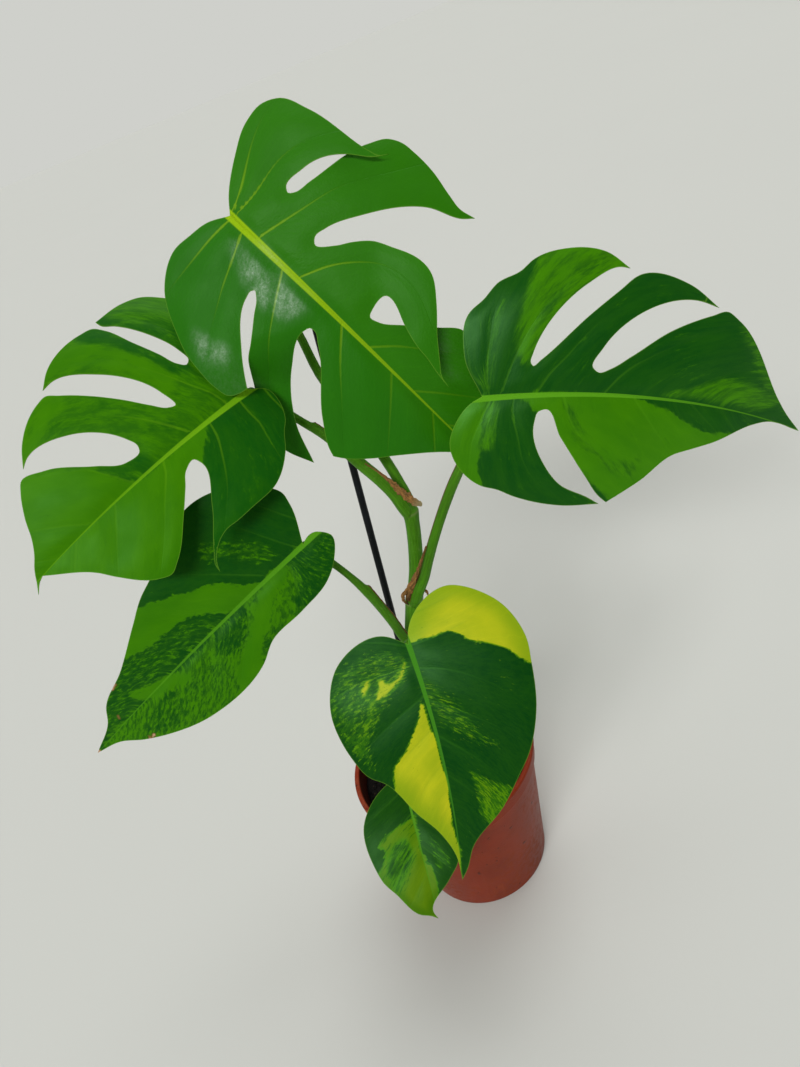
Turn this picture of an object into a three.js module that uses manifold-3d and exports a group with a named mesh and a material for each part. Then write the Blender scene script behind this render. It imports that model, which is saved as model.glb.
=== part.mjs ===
// A potted climbing aroid with six large leaves, about half a metre tall.
// Millimetres, +Z up. The origin is the middle of the underside of the pot, the leaves face -Y.

import * as THREE from 'three';
import { mergeVertices } from 'three/addons/utils/BufferGeometryUtils.js';
import Module from 'manifold-3d';

// Pot and soil
const potHeight = 104;
const potTopRadius = 60;
const potBaseRadius = 43;
const potWall = 2;
const potBandHeight = 12;
const potBandStep = 1.6;
const potSides = 44;
const drainHoleCount = 8;
const drainHoleRadius = 3.5;
const drainHoleCircle = 31;
const soilTop = 92;
const fitGap = 0.3;

// Blades
const bladeThickness = 0.8;
const bladeCell = 10;
const bladeEdgeRoom = 4;
const edgeStep = 6;
const viewSide = new THREE.Vector3(0, -0.848, 0.53);

// Stems and the stake
const stemSides = 8;
const stemStep = 8;
const stakeRadius = 2.3;
const stakeFoot = [-19.5, -10.3, 15];
const stakeHead = [33.1, 60, 373.9];
const sheathThickness = 0.8;

const materials = {
  pot: surface(0x7a3a28, 0.55),
  soil: surface(0x1d1713, 0.95),
  stake: surface(0x141414, 0.5),
  stem: surface(0x5f9440, 0.5),
  sheath: surface(0x8a6238, 0.8),
  plain: surface(0x4d8f2f, 0.45),
  marbled: surface(0x3c7a1c, 0.42),
  dark: surface(0x14401a, 0.4),
};

// Main stem and leaf stalks: the middle line with a radius at each point.
const mainStem = [
  [1.2, 3, 70, 5],
  [2, 3, 92, 5],
  [6.8, 4, 132.7, 5],
  [15.5, 9, 177.3, 4.8],
  [25.7, 15, 218.9, 4.6],
  [34.3, 19, 251.1, 4.2],
  [40.8, 21, 269.5, 4],
];

const stalks = [
  [
    [40, 21, 267, 3],
    [41.1, 22.5, 273, 3.2],
    [40.4, 29, 284.6, 3],
    [38.2, 34, 297.2, 3],
    [30.7, 43, 325, 2.8],
    [23.2, 50, 350.2, 2.6],
    [21.5, 54, 372.5, 2.4],
    [17.5, 57, 406, 2.4],
    [14.9, 51, 431.2, 2.6],
    [15.8, 44, 436.3, 2.2],
  ],
  [
    [39, 20.5, 267, 3.4],
    [37.7, 20, 272.3, 3.6],
    [35.3, 22, 281.3, 3.6],
    [31.2, 25, 291.1, 3.6],
    [25.9, 29, 300.4, 3.5],
    [19.1, 34, 312.5, 3.2],
    [12.6, 38, 322.7, 2.6],
    [3.8, 42, 334, 2.3],
    [-4.8, 43, 347.1, 2.2],
    [-10.8, 36.4, 358.4, 2.1],
    [-17.8, 22.4, 364.7, 2],
  ],
  [
    [27, 14, 219.5, 3],
    [31.5, 11.5, 227, 3.2],
    [38.8, 9, 240.8, 3.2],
    [45.7, 7, 253.1, 3],
    [67.9, 0, 288.2, 2.9],
    [72.5, -2, 294.7, 2.8],
    [84.7, -6, 311.6, 2.8],
    [92, -8, 321.9, 2.8],
    [98.1, -12.8, 328.2, 2.2],
  ],
  [
    [15, 8.5, 173, 2.6],
    [12.2, 5, 184.4, 2.8],
    [8.2, 3, 203.2, 2.8],
    [6.4, 2, 216.2, 2.8],
    [3.3, 1, 231.8, 2.7],
    [0.1, 0, 244.7, 2.6],
    [-4.7, 0, 258.2, 2.1],
    [-8.7, 0, 267.3, 2.1],
    [-14.2, -1, 278.4, 2.3],
    [-21.8, -7.1, 289.3, 2],
  ],
  [
    [4.6, 3, 113, 2.6],
    [3.2, -4.5, 126, 3],
    [7.3, -18, 159.5, 2.8],
    [10.1, -35, 195.6, 2.6],
    [11.7, -50, 226.2, 2.6],
    [12.9, -61.5, 243.2, 2.2],
  ],
  [
    [3.5, 3, 101, 2.2],
    [-6, -12, 110, 2.2],
    [-17.4, -32, 129.1, 2],
    [-20.6, -40, 139.8, 2],
    [-22.6, -47.1, 142.5, 1.8],
  ],
];

// Dry sheaths: the middle line of each narrow ribbon and its half width.
const forkSheath = [
  [28.4, 24.8, 303.5, 0.8],
  [30.6, 22.8, 297.5, 1.5],
  [34.4, 19, 289.1, 1.9],
  [38.6, 17.2, 281.2, 2],
  [42.4, 17, 273.9, 1.6],
  [45.2, 17.2, 267.6, 0.9],
];

const nodeSheath = [
  [40.4, 4.4, 249.3, 0.8],
  [35.8, 5.9, 241, 1.6],
  [30.6, 8.1, 232.1, 2],
  [25.4, 10, 224.1, 1.8],
  [20.6, 10.1, 215.6, 1.5],
  [17.4, 8.8, 207.2, 0.8],
];

// Each leaf hangs from base to tip along a drooping arc and is seen from its upper face.
// turn, droop and fold are in degrees, cup in degrees for each millimetre off the midrib.
// Each outline row starts at a sharp corner and runs smoothly to the start of the next row.
// An outline point is (distance along the midrib, distance across it).
const leaves = [
  {
    name: 'leaf_a',
    material: materials.plain,
    base: [14, 45, 440],
    tip: [82, 5, 296],
    turn: 10,
    droop: 35,
    fold: 6,
    cup: [0.35, 0.35],
    bow: -1,
    bump: { at: [40, 62], radius: 28, height: 7 },
    lobes: [
      {
        pivot: [68, -22],
        axis: -40,
        turn: 38,
        lift: 9,
        over: 40,
        region: [51, -42, 56, -50, 66, -63, 85, -68, 150, -85, 150, -62, 130, -49, 115, -43,
          100, -32, 89, -22, 83, -15, 79, -11, 80, -8],
      },
      {
        pivot: [8, -26],
        axis: -90,
        turn: 21,
        lift: 5,
        over: 45,
        region: [-60, -26, 12, -26, 16, -40, 19, -60, 24, -110, -60, -110],
      },
      {
        pivot: [53, 22],
        axis: 36,
        turn: 0,
        lift: -16,
        over: 30,
        region: [43.5, 35, 46, 39, 53, 48.3, 59, 54.2, 61, 62, 70, 95, 135, 80, 113, 62,
          105, 53, 90, 43, 72, 25, 61, 11],
      },
    ],
    outline: [
      [-0.5, 0, -5.5, -5, -18, -23.5, -24.5, -36, -26.5, -44, -25, -48.5, -14, -55.5,
        12.5, -70, 16, -73],
      [17.5, -78, 16.5, -72, 12, -60, 10.5, -38.5, 11.5, -27, 13.5, -26, 15.5, -28,
        17.5, -36.5, 24, -68, 29, -77, 35, -80.5, 42, -81.5, 54.5, -81.5, 68.5, -79, 76, -78],
      [85, -80.5, 80.5, -75.5, 65, -67, 45, -42, 37, -26, 36, -20, 38, -17.5, 45.5, -23.5,
        50, -30, 56.5, -37, 63.5, -41, 75.5, -51, 83, -50.5, 107.5, -49.5, 114, -49.5],
      [120.5, -52.5, 113.5, -48, 103.5, -42.5, 90.5, -29, 77.5, -23.5, 77.5, -16, 79.5, -11,
        83.5, -12, 93.5, -19.5, 106, -30, 116.5, -38, 126.5, -37.5, 137.5, -31.5, 160.5, -10.5],
      [169, 1, 162, 5, 135.5, 29.5, 129, 37.5, 117, 49],
      [113, 51.5, 109, 50, 95.5, 40.5, 70, 15.5, 64.5, 12, 62, 12.5, 61, 15, 67.5, 33, 89, 54],
      [112.5, 64.5, 96, 70, 84.5, 70.5, 71, 65.5, 60.5, 54, 54, 47.5, 46, 35.5, 39, 26,
        34.5, 19.5, 31.5, 17.5, 30.5, 19, 31, 22.5, 46, 44.5],
      [57.5, 53, 56.5, 62, 53.5, 65, 47, 66, 36, 64.5, 26.5, 63, 18.5, 60, -2.5, 46.5,
        -10, 29.5, -8.5, 19.5, -6.5, 10.5],
    ],
  },
  {
    name: 'leaf_b',
    material: materials.marbled,
    base: [-12, 24, 366],
    tip: [-131, -22, 338],
    turn: -5,
    droop: 25,
    fold: 6,
    cup: [0.25, 0.35],
    bow: 2,
    bump: { at: [35, -50], radius: 28, height: 4 },
    outline: [
      [-1, 0.5, 3.5, 17, -1, 26.5, -10, 47.5, -8.5, 57.5, -3, 65, 4, 71.5, 13, 74],
      [30, 73.5, 29.5, 70, 25, 65.5, 16, 50.5, 11.5, 35.5, 11.5, 29.5, 14, 28, 17, 31,
        20, 39.5, 25, 52.5, 30, 66.5, 33.5, 71.5, 40, 73, 64, 68.5],
      [72, 62, 66.5, 62.5, 47.5, 50, 33, 25, 32.5, 15.5, 36, 17, 41, 23, 49, 34,
        68, 54.5, 73.5, 59, 78, 58.5, 96.5, 48.5],
      [103.5, 40, 100, 42, 77, 36.5, 60, 17.5, 58.5, 12.5, 59.5, 10, 68.5, 10, 79, 18,
        97, 32.5, 108.5, 36.5, 111.5, 33.5, 118.5, 23.5, 123.5, 14, 127.5, 9, 132, 5],
      [139.5, -4.5, 135, -1],
      [132, 0, 112.5, -18, 108, -25, 94.5, -40, 89, -42.5, 83, -40, 65.5, -26, 56, -17,
        50.5, -11.5, 44, -10, 43, -12.5, 53.5, -32, 67.5, -48, 72, -54],
      [72.5, -57.5, 70.5, -53.5, 56, -45, 50, -45.5, 41, -45.5, 24.5, -44.5, 8.5, -34.5,
        1.5, -26.5, -3, -22.5, -7, -3.5],
    ],
  },
  {
    name: 'leaf_c',
    material: materials.marbled,
    base: [94, -14, 330],
    tip: [241, -28, 251],
    turn: 14,
    droop: 30,
    fold: 6,
    cup: [0.35, 0.35],
    bow: -9,
    outline: [
      [0, 0, -14, -22, -14, -42, -8.5, -47, -3, -54, 7.5, -59, 12, -63.5, 30, -68.5, 46.5, -66.5],
      [58.5, -59, 54.5, -59.5, 40, -52, 18, -19.5, 17.5, -16, 19, -14, 22, -16.5, 42, -37,
        54.5, -48.5, 63, -56, 89, -54.5],
      [105.5, -46, 95, -47.5, 50.5, -22, 47, -13, 50.5, -10.5, 56, -12.5, 64.5, -18.5,
        81, -31, 103, -42, 110.5, -45, 117.5, -42, 150, -10.5, 156.5, -6],
      [169, 0, 146, 1, 135.5, 5, 114.5, 17.5, 104.5, 22, 94.5, 26.5, 81, 40.5],
      [66, 53, 61, 49.5, 53, 40.5, 37, 20.5, 27, 7, 24.5, 8, 23.5, 12.5, 32.5, 35.5,
        40.5, 44, 56.5, 51],
      [62.5, 54, 43.5, 55.5, 19, 50, 10.5, 46, 2.5, 43.5, -15.5, 17.5, -7.5, 1.5],
    ],
  },
  {
    name: 'leaf_d',
    material: materials.marbled,
    base: [-18, -8, 291],
    tip: [-161, -29, 235],
    turn: -14,
    droop: 20,
    fold: 8,
    cup: [0.25, 0.25],
    bow: 3,
    outline: [
      [0, 0, -10.5, 20.5, -12, 27.5, -7.5, 36.5, 27, 53.5, 37.5, 51, 64, 41, 73.5, 38,
        87.5, 31, 110, 20, 131.5, 12.5, 137.5, 7],
      [156.5, 0, 142, -5, 131.5, -13.5, 96.5, -30.5, 58.5, -30.5, 46.5, -25, 25, -24.5,
        5, -22, -5, -16.5, -13.5, -5.5, -7.5, 1.5, -3.5, 1.5],
    ],
  },
  {
    name: 'leaf_e',
    material: materials.dark,
    base: [13, -60, 247],
    tip: [-8, -115, 139],
    turn: 5,
    droop: 25,
    fold: 5,
    cup: [0.3, 0.3],
    bow: -4.5,
    outline: [
      [0, 0, -5, -1.5, -24, -29.5, -11, -49.5, 8, -55.5, 20.5, -54, 42.5, -50, 63, -41.5,
        73.5, -34, 86, -25, 105.5, -7, 117.5, -3],
      [123.5, 0, 108.5, 2, 93.5, 9, 82.5, 17.5, 64, 30.5, 60, 37, 49, 43.5, 25, 47.5,
        4, 37.5, -6, 10],
    ],
  },
  {
    name: 'leaf_f',
    material: materials.marbled,
    base: [-22, -45, 146],
    tip: [-31, -100, 95],
    turn: 0,
    droop: 25,
    fold: 4,
    cup: [0.3, 0.3],
    bow: 0,
    outline: [
      [0.5, -0.5, -0.5, 4, 2, 11, 20, 28, 43.5, 27, 51, 24.5, 58, 19.5, 72, 9, 74, 4],
      [76.5, 0.5, 73, 2, 58, -11, 52, -17, 23, -22.5, 1.5, -5.5],
    ],
  },
];

function surface(color, roughness) {
  return new THREE.MeshStandardMaterial({ color, roughness, metalness: 0 });
}

function indexed(positions, triangles) {
  const geometry = new THREE.BufferGeometry();
  geometry.setAttribute('position', new THREE.Float32BufferAttribute(positions, 3));
  geometry.setIndex(triangles);
  geometry.computeVertexNormals();
  return geometry;
}

// Solids that are cut or joined

const wasm = await Module();
wasm.setup();

function toSolid(geometry) {
  const plain = geometry.clone();
  plain.deleteAttribute('normal');
  plain.deleteAttribute('uv');
  const merged = mergeVertices(plain, 1e-4);
  return new wasm.Manifold(new wasm.Mesh({
    numProp: 3,
    vertProperties: Float32Array.from(merged.attributes.position.array),
    triVerts: Uint32Array.from(merged.index.array),
  }));
}

function fromSolid(solid) {
  const mesh = solid.getMesh();
  return indexed(Array.from(mesh.vertProperties), Array.from(mesh.triVerts));
}

// A closed round tube through [x, y, z, radius] points, with flat ends.
function taperedTube(points, extraRadius = 0) {
  const places = points.map(([x, y, z]) => new THREE.Vector3(x, y, z));
  const curve = new THREE.CatmullRomCurve3(places, false, 'chordal');
  const steps = Math.ceil(curve.getLength() / stemStep);
  const frames = curve.computeFrenetFrames(steps, false);
  const positions = [];
  const triangles = [];
  for (let i = 0; i <= steps; i += 1) {
    const t = curve.getUtoTmapping(i / steps);
    const centre = curve.getPoint(t);
    const place = t * (points.length - 1);
    const before = Math.min(Math.floor(place), points.length - 2);
    const radius = extraRadius
      + THREE.MathUtils.lerp(points[before][3], points[before + 1][3], place - before);
    for (let k = 0; k < stemSides; k += 1) {
      const angle = (2 * Math.PI * k) / stemSides;
      const corner = centre.clone()
        .addScaledVector(frames.normals[i], radius * Math.cos(angle))
        .addScaledVector(frames.binormals[i], radius * Math.sin(angle));
      positions.push(corner.x, corner.y, corner.z);
    }
  }
  for (let i = 0; i < steps; i += 1) {
    for (let k = 0; k < stemSides; k += 1) {
      const a = i * stemSides + k;
      const b = i * stemSides + ((k + 1) % stemSides);
      triangles.push(a, b, b + stemSides, a, b + stemSides, a + stemSides);
    }
  }
  const last = steps * stemSides;
  for (let k = 1; k < stemSides - 1; k += 1) {
    triangles.push(0, k + 1, k);
    triangles.push(last, last + k, last + k + 1);
  }
  return indexed(positions, triangles);
}

function straightRod(foot, head, radius) {
  const start = new THREE.Vector3(...foot);
  const end = new THREE.Vector3(...head);
  const rod = new THREE.CylinderGeometry(radius, radius, start.distanceTo(end), 12);
  const lean = new THREE.Quaternion().setFromUnitVectors(
    new THREE.Vector3(0, 1, 0),
    end.clone().sub(start).normalize(),
  );
  rod.applyQuaternion(lean);
  const middle = start.add(end).multiplyScalar(0.5);
  rod.translate(middle.x, middle.y, middle.z);
  return rod;
}

function turned(profile, sides) {
  const lathe = new THREE.LatheGeometry(profile.map(([r, z]) => new THREE.Vector2(r, z)), sides);
  lathe.rotateX(Math.PI / 2);
  return lathe;
}

// Pot: a thin tapered wall with a thicker band and a rolled lip.
const bandBottom = potHeight - potBandHeight;
const wallRadius = (z) => potBaseRadius
  + (potTopRadius - potBandStep - potBaseRadius) * (z / potHeight);

function makePot() {
  const shell = turned([
    [0, 0],
    [potBaseRadius - 1.5, 0],
    [potBaseRadius, 1.5],
    [wallRadius(bandBottom - 1), bandBottom - 1],
    [wallRadius(bandBottom) + potBandStep, bandBottom],
    [potTopRadius - 1, potHeight - 3],
    [potTopRadius, potHeight - 2.2],
    [potTopRadius, potHeight - 0.8],
    [potTopRadius - 0.8, potHeight],
    [potTopRadius - 3.2, potHeight],
    [wallRadius(bandBottom) - potWall, bandBottom],
    [potBaseRadius - potWall, potWall],
    [0, potWall],
  ], potSides);
  let pot = toSolid(shell);
  for (let i = 0; i < drainHoleCount; i += 1) {
    const angle = (2 * Math.PI * (i + 0.5)) / drainHoleCount;
    const hole = new THREE.CylinderGeometry(drainHoleRadius, drainHoleRadius, 3 * potWall, 10);
    hole.rotateX(Math.PI / 2);
    hole.translate(drainHoleCircle * Math.cos(angle), drainHoleCircle * Math.sin(angle), potWall / 2);
    pot = pot.subtract(toSolid(hole));
  }
  return fromSolid(pot);
}

function makeSoil() {
  const fill = turned([
    [0, potWall + fitGap],
    [potBaseRadius - potWall - fitGap, potWall + fitGap],
    [wallRadius(bandBottom) - potWall - 1.5 * fitGap, soilTop],
    [0, soilTop],
  ], potSides);
  const above = mainStem[1];
  const below = mainStem[0];
  const stemHole = taperedTube([
    [below[0], below[1], below[2] - fitGap, below[3]],
    above,
    ...mainStem.slice(2),
  ], fitGap);
  const stakeHole = straightRod(
    stakeFoot.map((value, axis) => (axis === 2 ? value - fitGap : value)),
    stakeHead,
    stakeRadius + fitGap,
  );
  return fromSolid(toSolid(fill).subtract(toSolid(stemHole)).subtract(toSolid(stakeHole)));
}

function makeStem() {
  let stem = toSolid(taperedTube(mainStem));
  for (const stalk of stalks) {
    stem = stem.add(toSolid(taperedTube(stalk)));
  }
  return fromSolid(stem);
}

// A dry sheath: a narrow closed ribbon whose flat side faces the front.
function makeSheath(points) {
  const places = points.map(([x, y, z]) => new THREE.Vector3(x, y, z));
  const curve = new THREE.CatmullRomCurve3(places, false, 'chordal');
  const steps = 3 * (points.length - 1);
  const positions = [];
  const triangles = [];
  for (let i = 0; i <= steps; i += 1) {
    const t = i / steps;
    const place = t * (points.length - 1);
    const before = Math.min(Math.floor(place), points.length - 2);
    const half = THREE.MathUtils.lerp(points[before][3], points[before + 1][3], place - before);
    const centre = curve.getPoint(t);
    const side = curve.getTangent(t).cross(viewSide).normalize();
    const depth = side.clone().cross(curve.getTangent(t)).normalize();
    for (const [across, out] of [[-1, -0.5], [1, -0.5], [1, 0.5], [-1, 0.5]]) {
      const corner = centre.clone()
        .addScaledVector(side, across * half)
        .addScaledVector(depth, out * sheathThickness);
      positions.push(corner.x, corner.y, corner.z);
    }
  }
  for (let i = 0; i < steps; i += 1) {
    for (let k = 0; k < 4; k += 1) {
      const a = 4 * i + k;
      const b = 4 * i + ((k + 1) % 4);
      triangles.push(a, b + 4, b, a, a + 4, b + 4);
    }
  }
  triangles.push(0, 1, 2, 0, 2, 3);
  const last = 4 * steps;
  triangles.push(last, last + 2, last + 1, last, last + 3, last + 2);
  return indexed(positions, triangles);
}

// The flat outline of a blade

function smoothOutline(rows) {
  const corners = [];
  rows.forEach((row, index) => {
    const next = rows[(index + 1) % rows.length];
    const values = [...row, next[0], next[1]];
    const places = [];
    for (let i = 0; i < values.length; i += 2) {
      places.push(new THREE.Vector3(values[i], values[i + 1], 0));
    }
    const curve = new THREE.CatmullRomCurve3(places, false, 'chordal');
    const spans = places.length - 1;
    for (let k = 0; k < spans; k += 1) {
      const length = places[k].distanceTo(places[k + 1]);
      const pieces = Math.max(1, Math.round(length / edgeStep));
      for (let j = 0; j < pieces; j += 1) {
        const point = curve.getPoint((k + j / pieces) / spans);
        corners.push(new THREE.Vector2(point.x, point.y));
      }
    }
  });
  if (THREE.ShapeUtils.isClockWise(corners)) {
    corners.reverse();
  }
  return corners;
}

function isInside(corners, point) {
  let inside = false;
  corners.forEach((a, index) => {
    const b = corners[(index + 1) % corners.length];
    const crosses = (a.y > point.y) !== (b.y > point.y);
    if (crosses && point.x < a.x + ((b.x - a.x) * (point.y - a.y)) / (b.y - a.y)) {
      inside = !inside;
    }
  });
  return inside;
}

function edgeDistance(corners, point) {
  const nearest = new THREE.Vector3();
  const edge = new THREE.Line3();
  const place = new THREE.Vector3(point.x, point.y, 0);
  let least = Infinity;
  corners.forEach((a, index) => {
    const b = corners[(index + 1) % corners.length];
    edge.start.set(a.x, a.y, 0);
    edge.end.set(b.x, b.y, 0);
    edge.closestPointToPoint(place, true, nearest);
    least = Math.min(least, nearest.distanceTo(place));
  });
  return least;
}

function innerPoints(corners) {
  const box = new THREE.Box2().setFromPoints(corners);
  const rowStep = bladeCell * Math.sqrt(0.75);
  const points = [];
  for (let row = 0; box.min.y + row * rowStep < box.max.y; row += 1) {
    const shift = (row % 2) * 0.5 * bladeCell;
    for (let x = box.min.x + shift; x < box.max.x; x += bladeCell) {
      const point = new THREE.Vector2(x, box.min.y + row * rowStep);
      if (isInside(corners, point) && edgeDistance(corners, point) > bladeEdgeRoom) {
        points.push(point);
      }
    }
  }
  return points;
}

function turnsLeft(a, b, c) {
  return (b.x - a.x) * (c.y - a.y) - (b.y - a.y) * (c.x - a.x);
}

// Above zero when d lies inside the circle through a, b and c.
function inCircle(a, b, c, d) {
  const [p, q, r] = [a, b, c].map((corner) => corner.clone().sub(d));
  return p.lengthSq() * (q.x * r.y - q.y * r.x)
    - q.lengthSq() * (p.x * r.y - p.y * r.x)
    + r.lengthSq() * (p.x * q.y - p.y * q.x);
}

// Even triangles over the flat blade: shared edges are swapped until no corner is crowded.
function flatNet(corners) {
  const points = [...corners];
  const triangles = THREE.ShapeUtils.triangulateShape(corners, []);
  for (const point of innerPoints(corners)) {
    const found = triangles.findIndex(([a, b, c]) => turnsLeft(points[a], points[b], point) >= 0
      && turnsLeft(points[b], points[c], point) >= 0
      && turnsLeft(points[c], points[a], point) >= 0);
    const [a, b, c] = triangles[found];
    const added = points.push(point) - 1;
    triangles.splice(found, 1, [a, b, added], [b, c, added], [c, a, added]);
  }
  let swapped = true;
  while (swapped) {
    swapped = false;
    const across = new Map();
    triangles.forEach((triangle, index) => {
      triangle.forEach((a, k) => across.set(`${a} ${triangle[(k + 1) % 3]}`, { index, k }));
    });
    const touched = new Set();
    for (const [key, here] of across) {
      const [a, b] = key.split(' ').map(Number);
      const there = across.get(`${b} ${a}`);
      if (there && a < b && !touched.has(here.index) && !touched.has(there.index)) {
        const c = triangles[here.index][(here.k + 2) % 3];
        const d = triangles[there.index][(there.k + 2) % 3];
        if (inCircle(points[a], points[b], points[c], points[d]) > 1e-3) {
          triangles[here.index] = [a, d, c];
          triangles[there.index] = [d, b, c];
          touched.add(here.index);
          touched.add(there.index);
          swapped = true;
        }
      }
    }
  }
  return { points, triangles };
}

// The waved surface of a leaf

function smoothStep(value) {
  const x = THREE.MathUtils.clamp(value, 0, 1);
  return x * x * (3 - 2 * x);
}

// Returns the place on the leaf's middle surface for a flat point (u along, v across).
function leafSurface(leaf) {
  const base = new THREE.Vector3(...leaf.base);
  const along = new THREE.Vector3(...leaf.tip).sub(base);
  const chord = along.length();
  along.normalize();
  const turn = THREE.MathUtils.degToRad(leaf.turn);
  const droop = THREE.MathUtils.degToRad(leaf.droop);
  const fold = THREE.MathUtils.degToRad(leaf.fold);
  const cups = leaf.cup.map(THREE.MathUtils.degToRad);
  const facing = viewSide.clone().addScaledVector(along, -viewSide.dot(along)).normalize();
  const out = facing.clone().multiplyScalar(Math.cos(turn))
    .addScaledVector(along.clone().cross(facing), Math.sin(turn));
  const side = along.clone().cross(out);
  const length = (chord * (droop / 2)) / Math.sin(droop / 2);
  const bend = droop / length;
  const lobes = (leaf.lobes ?? []).map((lobe) => {
    const region = [];
    for (let i = 0; i < lobe.region.length; i += 2) {
      region.push(new THREE.Vector2(lobe.region[i], lobe.region[i + 1]));
    }
    return { ...lobe, region };
  });

  return (point) => {
    let u = point.x;
    let v = point.y;
    let height = 0;
    const lobe = lobes.find(({ region }) => isInside(region, point));
    if (lobe) {
      const axis = THREE.MathUtils.degToRad(lobe.axis);
      const du = u - lobe.pivot[0];
      const dv = v - lobe.pivot[1];
      const share = smoothStep((du * Math.cos(axis) + dv * Math.sin(axis)) / lobe.over);
      const angle = THREE.MathUtils.degToRad(lobe.turn) * share;
      u = lobe.pivot[0] + Math.cos(angle) * du - Math.sin(angle) * dv;
      v = lobe.pivot[1] + Math.sin(angle) * du + Math.cos(angle) * dv;
      height += lobe.lift * share;
    }
    if (leaf.bump) {
      const away = (u - leaf.bump.at[0]) ** 2 + (v - leaf.bump.at[1]) ** 2;
      height += leaf.bump.height * Math.exp(-away / leaf.bump.radius ** 2);
    }
    const cup = cups[v > 0 ? 1 : 0];
    const slope = fold - cup * Math.abs(v);
    const across = ((Math.sin(fold) - Math.sin(slope)) / cup) * Math.sign(v)
      + leaf.bow * 4 * (u / length) * (1 - u / length);
    height += (Math.cos(slope) - Math.cos(fold)) / cup;
    const angle = droop / 2 - bend * u;
    const forward = (Math.sin(droop / 2) - Math.sin(angle)) / bend - height * Math.sin(angle);
    const upward = (Math.cos(angle) - Math.cos(droop / 2)) / bend + height * Math.cos(angle);
    return base.clone()
      .addScaledVector(along, forward)
      .addScaledVector(out, upward)
      .addScaledVector(side, across);
  };
}

function makeBlade(leaf) {
  const corners = smoothOutline(leaf.outline);
  const { points, triangles } = flatNet(corners);
  const place = leafSurface(leaf);
  const near = 0.2;
  const upper = [];
  const lower = [];
  for (const point of points) {
    const middle = place(point);
    const alongU = place(new THREE.Vector2(point.x + near, point.y)).sub(middle);
    const alongV = place(new THREE.Vector2(point.x, point.y + near)).sub(middle);
    const normal = alongV.cross(alongU).normalize().multiplyScalar(bladeThickness / 2);
    upper.push(...middle.clone().add(normal));
    lower.push(...middle.clone().sub(normal));
  }
  const count = points.length;
  const faces = [];
  for (const [a, b, c] of triangles) {
    faces.push(a, c, b);
    faces.push(a + count, b + count, c + count);
  }
  for (let i = 0; i < corners.length; i += 1) {
    const next = (i + 1) % corners.length;
    faces.push(i, next, next + count, i, next + count, i + count);
  }
  return indexed([...upper, ...lower], faces);
}

const plant = new THREE.Group();

function place(name, geometry, material) {
  const mesh = new THREE.Mesh(geometry, material);
  mesh.name = name;
  plant.add(mesh);
}

place('pot', makePot(), materials.pot);
place('soil', makeSoil(), materials.soil);
place('stake', straightRod(stakeFoot, stakeHead, stakeRadius), materials.stake);
place('stem', makeStem(), materials.stem);
for (const leaf of leaves) {
  place(leaf.name, makeBlade(leaf), leaf.material);
}
place('sheath_fork', makeSheath(forkSheath), materials.sheath);
place('sheath_node', makeSheath(nodeSheath), materials.sheath);

export default plant;
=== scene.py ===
import math

import bmesh
import bpy
import numpy as np
from mathutils import Matrix, Vector, geometry, noise


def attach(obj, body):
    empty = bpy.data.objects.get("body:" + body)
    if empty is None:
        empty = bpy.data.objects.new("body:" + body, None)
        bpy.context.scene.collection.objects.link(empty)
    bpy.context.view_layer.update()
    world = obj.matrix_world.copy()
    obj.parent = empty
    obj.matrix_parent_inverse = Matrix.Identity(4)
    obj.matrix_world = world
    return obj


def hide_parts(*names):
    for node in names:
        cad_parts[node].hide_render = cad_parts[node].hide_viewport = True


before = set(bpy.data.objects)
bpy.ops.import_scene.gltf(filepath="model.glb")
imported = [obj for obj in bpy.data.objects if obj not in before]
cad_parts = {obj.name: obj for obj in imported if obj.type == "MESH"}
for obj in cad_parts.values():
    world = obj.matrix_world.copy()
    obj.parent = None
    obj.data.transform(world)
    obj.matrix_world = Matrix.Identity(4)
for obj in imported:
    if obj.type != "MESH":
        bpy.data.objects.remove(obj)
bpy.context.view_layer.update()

bl_info = {
    "name": "Potted split-leaf aroid",
    "version": (1, 0, 0),
    "blender": (4, 5, 0),
    "location": "View3D > Sidebar > Plant",
    "description": "A staked climbing aroid with six variegated leaves in a nursery pot",
    "category": "Object",
}

# Tables of places and sizes are in millimetres, and meshes are in metres.
MM = 0.001
VIEW_SIDE = np.array([0.0, -0.848, 0.53])  # the way that the upper faces of the leaves look
GREEN_GLOSS = (0.4, 1.0, 0.35, 1.0)
LINE_STEP = 1.5  # between the points of a stem's middle line
STEM_SIDES = 20
RIB_SIDES = 8
RIB_RADIUS = 0.36  # of the ridge under a midrib, as a share of the midrib's width
PATCH_STEP = 3  # between the corners of a patch's edge
VEIN_SPACING = 14  # usual distance between side veins
LOWER_NUMBER = 20  # side veins of the lower half are numbered from here
DRY_EDGE = 1.6  # how far the edge of a dry spot fades
BEYOND_MARGIN = 60  # how far a side vein is drawn on past the margin


def srgb(red, green, blue):
    """A colour given as 0 to 255 screen values, as linear light."""
    shares = [value / 255 for value in (red, green, blue)]
    return tuple(s / 12.92 if s <= 0.04045 else ((s + 0.055) / 1.055) ** 2.4 for s in shares)


def scaled(color, amount):
    """A colour made darker or lighter."""
    return tuple(amount * part for part in color)


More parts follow.
